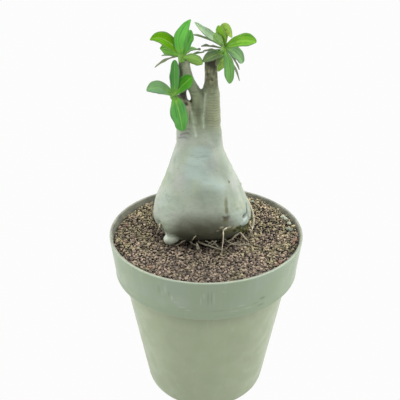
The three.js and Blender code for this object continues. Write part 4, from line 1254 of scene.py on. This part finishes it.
def fill_bed(pot, settings):
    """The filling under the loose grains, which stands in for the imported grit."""
    collar_foot = pot.height - pot.collar_height
    gap = pot.wall + BED_GAP
    bottom = pot.floor + BED_GAP
    top = settings.level - GROUND_SWELL
    bm = bmesh.new()
    table = [
        (0, bottom), (pot.base_radius - gap - FLOOR_CORNER, bottom),
        (pot.base_radius - gap, pot.floor + FLOOR_CORNER),
        (pot.body_top_radius - gap, collar_foot - INNER_STEP),
        (pot.collar_foot_radius - gap, collar_foot + pot.wall),
        (inner_radius(pot, top) - BED_GAP, top + BED_BANK * settings.bank),
        (settings.bank_foot, top), (0, top),
    ]
    line = [bm.verts.new((radius, 0, height)) for radius, height in table]
    edges = [bm.edges.new(pair) for pair in zip(line, line[1:])]
    bmesh.ops.spin(
        bm, geom=line + edges, cent=(0, 0, 0), axis=(0, 0, 1), dvec=(0, 0, 0),
        angle=2 * math.pi, steps=BED_SIDES, use_merge=True,
    )
    bmesh.ops.remove_doubles(bm, verts=bm.verts, dist=MERGE_REACH)
    layer = bm.verts.layers.float_color.new("grain_colour")
    # The filling is painted near black, as the shade in the gaps between the grains
    for vert in bm.verts:
        vert[layer] = rgba(Vector(settings.dark) * GAP_SHADE_TONE)
    return placed("grit_bed", mesh_from(bm, "grit_bed"))


def grain_places(pot, settings):
    """Jittered places of the grains, in rows, clear of the trunk's foot."""
    draw = random.Random(PLACE_SEED)
    reach = inner_radius(pot, settings.level) - 2 * BED_GAP
    rows = int(reach / (settings.pitch * ROW_STEP)) + 1
    trunk_x, trunk_y = TRUNK_PLACE
    for row in range(-rows, rows + 1):
        for column in range(-rows - EXTRA_COLUMNS, rows + EXTRA_COLUMNS + 1):
            x = (column + 0.5 * (row % 2) + draw.uniform(-GRAIN_JITTER, GRAIN_JITTER)) * settings.pitch
            y = (row * ROW_STEP + draw.uniform(-GRAIN_JITTER, GRAIN_JITTER)) * settings.pitch
            clear = CLEAR_BEHIND if y > trunk_y else CLEAR_IN_FRONT
            if math.hypot(x, y) < reach and math.hypot(x - trunk_x, y - trunk_y) > clear:
                yield x, y


def grain_colour(settings, draw, x, y):
    """A stone colour, painted paler towards the back and the sides as light and darker as shade under the
    trunk's front and at the rim's front, olive towards the back and the sides and pinkish brown in other
    patches.
    """
    # A slope towards the back and the sides, which paints light on the grains and shifts their patches
    # towards olive
    dry = max(x, -LEFT_SIDE_WEIGHT * x) + y
    start, gain = PAINTED_LIGHT_RAMP
    tone = Vector(settings.dark).lerp(Vector(settings.light), draw.random() ** TONE_CURVE)
    tone *= start + gain * dry
    at_rim = y < RIM_SHADE_FRONT and math.hypot(x, y) > RIM_SHADE_RADIUS
    tone *= 1 - RIM_SHADE * at_rim * draw.random()
    shade_x, shade_y = FOOT_SHADE_PLACE
    away = math.hypot(x - shade_x, FOOT_SHADE_SQUASH * (y - shade_y))
    tone *= 1 - FOOT_SHADE * max(1 - away / FOOT_SHADE_REACH, 0)
    patch = PATCH_MIDDLE - PATCH_BACK_SHIFT * dry
    patch += PATCH_SWING * noise.noise(Vector((x, y, PATCH_SHIFT)) * PATCH_SCALE)
    patch += draw.uniform(-PATCH_JITTER, PATCH_JITTER)
    cast = Vector(OLIVE_CAST).lerp(Vector(PINK_CAST), min(max(patch, 0), 1))
    return rgba([part * by for part, by in zip(tone, cast)])


def drop_grain(bm, layer, draw, place, radius, tone, fineness=1):
    """Adds one squat, angular stone."""
    turn = Matrix.Rotation(draw.uniform(0, STONE_TURN), 4, "Z")
    turn @= Matrix.Rotation(draw.uniform(-STONE_LEAN, STONE_LEAN), 4, "X")
    squash = Matrix.Diagonal((*(draw.uniform(low, high) for low, high in STONE_SQUASH), 1))
    stone = bmesh.ops.create_icosphere(
        bm, subdivisions=fineness, radius=radius, matrix=Matrix.Translation(place) @ turn @ squash,
    )["verts"]
    for vert in stone:
        shift = Vector([draw.uniform(-1, 1) for axis in range(3)])
        vert.co += shift * radius * STONE_UNEVENNESS
        vert[layer] = tone


def scatter_grains(pot, settings):
    """The loose upper layer, made a batch at a time, with a few single pebbles in it."""
    draw = random.Random(GRAIN_SEED)
    grains = []
    least, spread, curve = GRAIN_SIZES
    for x, y in grain_places(pot, settings):
        radius = settings.grain_radius * (least + spread * draw.random() ** curve)
        lift = draw.uniform(-GRAIN_LIFT, GRAIN_LIFT) * settings.grain_radius
        height = ground(settings, x, y) - GRAIN_SINK + lift
        grains.append(((x, y, height), radius, grain_colour(settings, draw, x, y), 1))
    for x, y, radius, kind in PEBBLES:
        place = (x * MM, y * MM, ground(settings, x * MM, y * MM) + PEBBLE_LIFT * radius * MM)
        grains.append((place, radius * MM, rgba(PEBBLE_COLOURS[kind]), 2))
    whole = bmesh.new()
    for first in range(0, len(grains), GRAIN_BATCH):
        bm = bmesh.new()
        layer = bm.verts.layers.float_color.new("grain_colour")
        for grain in grains[first:first + GRAIN_BATCH]:
            drop_grain(bm, layer, draw, *grain)
        batch = bpy.data.meshes.new("batch")
        bm.to_mesh(batch)
        bm.free()
        whole.from_mesh(batch)
        bpy.data.meshes.remove(batch)
    return placed("grit_grains", mesh_from(whole, "grit_grains"))


class ADENIUM_OT_grit(bpy.types.Operator):
    """Fill the pot and scatter the loose grains"""

    bl_idname = "adenium.grit"
    bl_label = "Grit"

    def execute(self, context):
        pot = context.scene.adenium_pot
        settings = context.scene.adenium_grit
        stone = grit_stone()
        dress(fill_bed(pot, settings), ["grit"], "grit", stone)
        dress(scatter_grains(pot, settings), ["grit"], "grit", stone)
        return {"FINISHED"}


def read_points(mesh):
    """A mesh's points as an array in millimetres."""
    flat = np.empty(len(mesh.vertices) * 3, np.float32)
    mesh.vertices.foreach_get("co", flat)
    return flat.reshape(-1, 3) / MM


def write_points(mesh, points):
    """Moves a mesh's points to an array in millimetres."""
    mesh.vertices.foreach_set("co", (points * MM).astype(np.float32).ravel())
    mesh.update()


def read_normals(mesh):
    """The normals at a mesh's points."""
    flat = np.empty(len(mesh.vertices) * 3, np.float32)
    mesh.vertex_normals.foreach_get("vector", flat)
    return flat.reshape(-1, 3)


def soften_joints(mesh, rounds):
    """Fills the creases where limbs meet, and leaves swollen parts alone."""
    edges = np.empty(len(mesh.edges) * 2, np.int64)
    mesh.edges.foreach_get("vertices", edges)
    edges = edges.reshape(-1, 2)
    count = np.bincount(edges.ravel(), minlength=len(mesh.vertices)).astype(np.float32)[:, None]
    points = read_points(mesh)
    for turn in range(rounds):
        total = np.stack([
            np.bincount(edges[:, 0], points[edges[:, 1], axis], len(points))
            + np.bincount(edges[:, 1], points[edges[:, 0], axis], len(points))
            for axis in range(3)
        ], axis=1)
        pull = total / count - points
        write_points(mesh, points)
        outward = (pull * read_normals(mesh)).sum(axis=1, keepdims=True)
        points = points + pull * np.where(outward > 0, JOINT_FILL, SURFACE_EASE)
    write_points(mesh, points)


def distance_to_line(points, line):
    """Distance from each point to a line of points."""
    nearest = np.full(len(points), np.inf)
    for start, end in zip(line, line[1:]):
        start = np.array(start, float)
        run = np.array(end, float) - start
        place = np.clip(((points - start) @ run) / (run @ run), 0, 1)
        gap = np.linalg.norm(points - start - place[:, None] * run, axis=1)
        nearest = np.minimum(nearest, gap)
    return nearest


def smooth_share(values):
    """Eases values between nothing and one."""
    held = np.clip(values, 0, 1)
    return held * held * (3 - 2 * held)


def near_line(points, line, width):
    """How near each point is to a line of points, from nothing to one."""
    return np.exp(-(distance_to_line(points, line) / width) ** 2)


def above(values, start, blend):
    """How far values have risen over a start, from nothing to one."""
    return smooth_share((values - start) / blend)


def below(values, start, blend):
    """How far values have sunk under a start, from nothing to one."""
    return smooth_share((start - values) / blend)


def soiled_and_shaded_underside(points, normals):
    """Marks the underside of the trunk's foot that is painted dark, as soiled bark and as shade, with the
    toe left out.
    """
    side, depth, height = normals.T
    left, right = SOILED_AND_SHADED_SIDES
    under = below(height, *SOILED_AND_SHADED_BELOW) * below(depth, *SOILED_AND_SHADED_FRONT)
    under *= above(side, *left) * below(side, *right) * below(points[:, 2], *SOILED_AND_SHADED_TOP)
    facing_down = below(height, *SOILED_AND_SHADED_FACING_DOWN) * (points[:, 2] < SOILED_AND_SHADED_LOW)
    toe = [row[:3] for row in LIMBS["toe"][1:]]
    return np.maximum(under, facing_down) * above(distance_to_line(points, toe), *TOE_CLEAR)


def carve_trunk(mesh):
    """Cuts creases, raises ridges and swellings, and notes where the creases are painted dark as shade,
    where the ridges are pale and where the foot's underside is painted dark.
    """
    points = read_points(mesh)
    normals = read_normals(mesh)
    lift = np.zeros(len(points))
    stain = np.zeros(len(points))
    pale = np.zeros(len(points))
    for line, width, depth, darkness in CREASES.values():
        near = near_line(points, line, width)
        lift -= depth * near
        stain = np.maximum(stain, darkness * near)
    for line, width, height in RIDGES.values():
        near = near_line(points, line, width)
        lift += height * near
        pale = np.maximum(pale, near)
    for centre, radius, height in SWELLINGS:
        gap = np.linalg.norm(points - np.array(centre), axis=1) / radius
        lift += height * np.exp(-gap ** 2)
    for number, point in enumerate(points):
        x, y, z = point
        squat = Vector((x, y, z * SWELL_STRETCH))
        lift[number] += sum(height * noise.noise(squat / size) for height, size in BARK_SWELLS)
    write_points(mesh, points + normals * lift[:, None])
    under = soiled_and_shaded_underside(points, normals)
    for name, values in (("stain", stain), ("pale", pale), ("under", under)):
        layer = mesh.attributes.new(name, "FLOAT", "POINT")
        layer.data.foreach_set("value", values.astype(np.float32))


class ADENIUM_OT_trunk(bpy.types.Operator):
    """Join the swollen body with its stems and carve its bark"""

    bl_idname = "adenium.trunk"
    bl_label = "Trunk"

    def execute(self, context):
        settings = context.scene.adenium_trunk
        bm = bmesh.new()
        grow_trunk_body(bm)
        for stations in LIMBS.values():
            grow_limb(bm, stations, *LIMB_FINENESS)
        trunk = placed("trunk_bark", mesh_from(bm, "trunk_bark"))
        join = trunk.modifiers.new("join", "REMESH")
        join.mode = "VOXEL"
        join.voxel_size = settings.voxel
        settled(trunk)
        soften_joints(trunk.data, JOINT_ROUNDS)
        carve_trunk(trunk.data)
        trunk.data.shade_smooth()
        dress(trunk, ["trunk"], "bark", bark(settings))
        return {"FINISHED"}


class ADENIUM_OT_roots(bpy.types.Operator):
    """Lay the thin beige roots on the trunk's foot and on the grit"""

    bl_idname = "adenium.roots"
    bl_label = "Roots"

    def execute(self, context):
        bm = bmesh.new()
        noise.seed_set(ROOT_WANDER_SEED)
        for stations in ROOTS.values():
            for vert in grow_limb(bm, stations, *ROOT_FINENESS):
                vert.co += noise.noise_vector(vert.co * ROOT_WANDER_SCALE) * ROOT_WANDER
        roots = placed("surface_roots", mesh_from(bm, "surface_roots"))
        roots.data.shade_smooth()
        dress(roots, ["trunk"], "bark", root_skin())
        return {"FINISHED"}


def bezier(base, pull, tip, place):
    """Point and direction of a leaf's midrib at a share of its length."""
    rest = 1 - place
    point = rest * rest * base + 2 * rest * place * pull + place * place * tip
    heading = 2 * rest * (pull - base) + 2 * place * (tip - pull)
    return point, heading.normalized()


def half_width(width, widest, roundness, place):
    """Half the blade's width at a share of its length."""
    swell = math.log(0.5) / math.log(widest)
    blade = max(math.sin(math.pi * place ** swell), 0) ** roundness
    stalk = LEAF_STALK * (1 - STALK_TAPER * place)
    return width / 2 * (stalk + (1 - stalk) * blade)


def grow_leaf(bm, layers, form, number):
    """Adds one folded, arched and wavy blade."""
    base, pull, tip, width, face, widest, roundness, blade_tone = form
    base, pull, tip = Vector(base), Vector(pull), Vector(tip)
    facing = Vector(face).normalized()
    tone, blade = layers
    columns, rows = LEAF_GRID
    sheet = bmesh.ops.create_grid(bm, x_segments=columns, y_segments=rows, size=1.0)["verts"]
    for vert in sheet:
        across = vert.co.x
        place = 0.5 - 0.5 * math.cos(math.pi * (vert.co.y + 1) / 2)
        for loop in vert.link_loops:
            loop[blade].uv = ((across + 1) / 2, place)
        point, heading = bezier(base, pull, tip, place)
        sideways = heading.cross(facing).normalized()
        upwards = sideways.cross(heading).normalized()
        side = math.copysign(1, across) if abs(across) > MIDRIB_WIDTH else 0
        ragged = noise.noise(Vector((LEAF_NOTCHES * place, NOTCH_SHIFT * number + 0.5, side)))
        reach = half_width(width, widest, roundness, place) * (1 + LEAF_NOTCH * ragged * place)
        swing = math.sin(2 * math.pi * (LEAF_WAVES * place + LEAF_WAVE_STEP * number) + side)
        lift = LEAF_FOLD * math.sqrt(across ** 2 + FOLD_ROUNDING) * reach
        lift += LEAF_WAVE * swing * across ** 2 * math.sin(math.pi * place)
        vert.co = (point + across * reach * sideways + lift * upwards) * MM
        vert[tone] = rgba(blade_tone)


def grow_buds(bm, top):
    """A tuft of tiny folded leaves at a shoot's tip."""
    inner, spread = BUD_SPREAD
    for number in range(BUDS):
        angle = BUD_TURN * number
        out = Vector((math.cos(angle), math.sin(angle), 0)) * BUD_REACH * (inner + spread * number)
        middle = top + out * 0.5 + Vector((0, 0, BUD_REACH))
        tip = top + out + Vector((0, 0, BUD_REACH * BUD_RISE))
        stations = [(*point, radius) for point, radius in zip((top, middle, tip), BUD_RADII)]
        grow_limb(bm, stations, *STALK_FINENESS)


def grow_crown(name, node, leaves, shoot, settings, skins):
    """One shoot with its leaves, as two pieces that stand for one node."""
    bm = bmesh.new()
    layers = bm.verts.layers.float_color.new("leaf_colour"), bm.loops.layers.uv.new("blade")
    for number, form in enumerate(leaves):
        grow_leaf(bm, layers, form, number)
    mesh = bpy.data.meshes.new(name + "_leaves")
    bm.to_mesh(mesh)
    bm.free()
    blades = placed(name + "_leaves", mesh)
    dress(blades, [node], "leaf", *skins[:2])
    thick = blades.modifiers.new("thickness", "SOLIDIFY")
    thick.thickness = settings.thickness
    thick.offset = 0
    thick.material_offset = 1
    thick.material_offset_rim = 0
    mesh.shade_smooth()
    wood = bmesh.new()
    grow_limb(wood, shoot, *SHOOT_FINENESS)
    grow_buds(wood, Vector(shoot[-1][:3]))
    for base, pull, tip, width, *rest in leaves:
        curve = Vector(base), Vector(pull), Vector(tip)
        stalk = [(*bezier(*curve, place)[0], width * thin) for place, thin in STALK_RADII]
        grow_limb(wood, stalk, *STALK_FINENESS)
    stems = placed(name + "_shoot", mesh_from(wood, name + "_shoot"))
    stems.data.shade_smooth()
    dress(stems, [node], "leaf", skins[2])


class ADENIUM_OT_crowns(bpy.types.Operator):
    """Grow the three leafy shoots"""

    bl_idname = "adenium.crowns"
    bl_label = "Leafy shoots"

    def execute(self, context):
        settings = context.scene.adenium_leaf
        skins = [leaf_skin(name, settings, *face) for name, face in LEAF_FACES.items()] + [green_bark()]
        grow_crown("left_crown", "crown_left", LEFT_LEAVES, LEFT_SHOOT, settings, skins)
        grow_crown("side_twig", "crown_side", SIDE_LEAVES, SIDE_TWIG, settings, skins)
        grow_crown("right_crown", "crown_right", RIGHT_LEAVES, RIGHT_SHOOT, settings, skins)
        return {"FINISHED"}


def set_camera(context):
    """Looks at the plant from the front and above."""
    camera = bpy.data.cameras.new("camera")
    camera.lens = CAMERA_LENS
    camera.sensor_width = SENSOR_WIDTH
    camera.clip_end = CAMERA_REACH
    holder = bpy.data.objects.new("camera", camera)
    holder.location = CAMERA_PLACE
    holder.rotation_euler = (math.pi / 2 - CAMERA_PITCH, 0, CAMERA_YAW)
    context.scene.collection.objects.link(holder)
    context.scene.camera = holder


def set_light(context, settings):
    """Surroundings that are bright at both sides and look white, with a broad soft light above."""
    world = bpy.data.worlds.new("studio")
    world.use_nodes = True
    shade = Shade(world.node_tree)
    direction = shade.add("ShaderNodeTexCoord").outputs["Generated"]
    rear = shade.ramp(shade.axis(direction, "Y"), *REAR_REACH, settings.rear_light)
    sideways = shade.maths("ABSOLUTE", shade.axis(direction, "X"))
    level = shade.maths("ADD", rear, shade.ramp(sideways, *SIDE_REACH, settings.side_light))
    seen = shade.add("ShaderNodeLightPath").outputs["Is Camera Ray"]
    background = world.node_tree.nodes["Background"]
    shade.feed(background.inputs["Strength"], shade.ramp(seen, 0.0, 1.0, level, STUDIO_WHITE[0]))
    background.inputs["Color"].default_value = rgba(WHITE)
    context.scene.world = world
    sun = bpy.data.lights.new("soft_top", "SUN")
    sun.energy = settings.top_light
    sun.angle = SOFT_TOP_SPREAD
    lamp = bpy.data.objects.new("soft_top", sun)
    lamp.rotation_euler = SOFT_TOP_LEAN
    context.scene.collection.objects.link(lamp)


class ADENIUM_OT_stage(bpy.types.Operator):
    """Lay the floor and set the light and the camera"""

    bl_idname = "adenium.stage"
    bl_label = "Stage"

    def execute(self, context):
        settings = context.scene.adenium_stage
        bm = bmesh.new()
        bmesh.ops.create_circle(bm, cap_ends=True, segments=FLOOR_SIDES, radius=settings.floor_radius)
        floor = placed("studio_floor", mesh_from(bm, "studio_floor"))
        floor.data.materials.append(floor_paint(settings))
        set_light(context, settings)
        set_camera(context)
        context.scene.view_settings.view_transform = "Standard"
        return {"FINISHED"}


class ADENIUM_PT_panel(bpy.types.Panel):
    """Steps and sizes of the potted desert rose"""

    bl_idname = "ADENIUM_PT_panel"
    bl_label = "Desert rose"
    bl_space_type = "VIEW_3D"
    bl_region_type = "UI"
    bl_category = "Desert rose"

    def draw(self, context):
        for operator, group in STEPS:
            self.layout.operator(operator.bl_idname)
            if group:
                settings = getattr(context.scene, group)
                for name in settings.__annotations__:
                    self.layout.prop(settings, name)


STEPS = [
    (ADENIUM_OT_pot, "adenium_pot"), (ADENIUM_OT_grit, "adenium_grit"),
    (ADENIUM_OT_trunk, "adenium_trunk"), (ADENIUM_OT_roots, None),
    (ADENIUM_OT_crowns, "adenium_leaf"), (ADENIUM_OT_stage, "adenium_stage"),
]
GROUPS = {
    "adenium_pot": PotSettings, "adenium_grit": GritSettings, "adenium_trunk": TrunkSettings,
    "adenium_leaf": LeafSettings, "adenium_stage": StageSettings,
}


def register():
    """Adds the settings, the steps and the panel to Blender."""
    for name, group in GROUPS.items():
        bpy.utils.register_class(group)
        setattr(bpy.types.Scene, name, bpy.props.PointerProperty(type=group))
    for operator, group in STEPS:
        bpy.utils.register_class(operator)
    bpy.utils.register_class(ADENIUM_PT_panel)


def unregister():
    """Takes the settings, the steps and the panel out of Blender again."""
    bpy.utils.unregister_class(ADENIUM_PT_panel)
    for operator, group in reversed(STEPS):
        bpy.utils.unregister_class(operator)
    for name, group in GROUPS.items():
        delattr(bpy.types.Scene, name)
        bpy.utils.unregister_class(group)


def main():
    """Builds the whole scene."""
    register()
    make_mottle_group()
    make_spot_group()
    bpy.ops.adenium.pot()
    bpy.ops.adenium.grit()
    bpy.ops.adenium.trunk()
    bpy.ops.adenium.roots()
    bpy.ops.adenium.crowns()
    bpy.ops.adenium.stage()


if __name__ == "__main__":
    main()
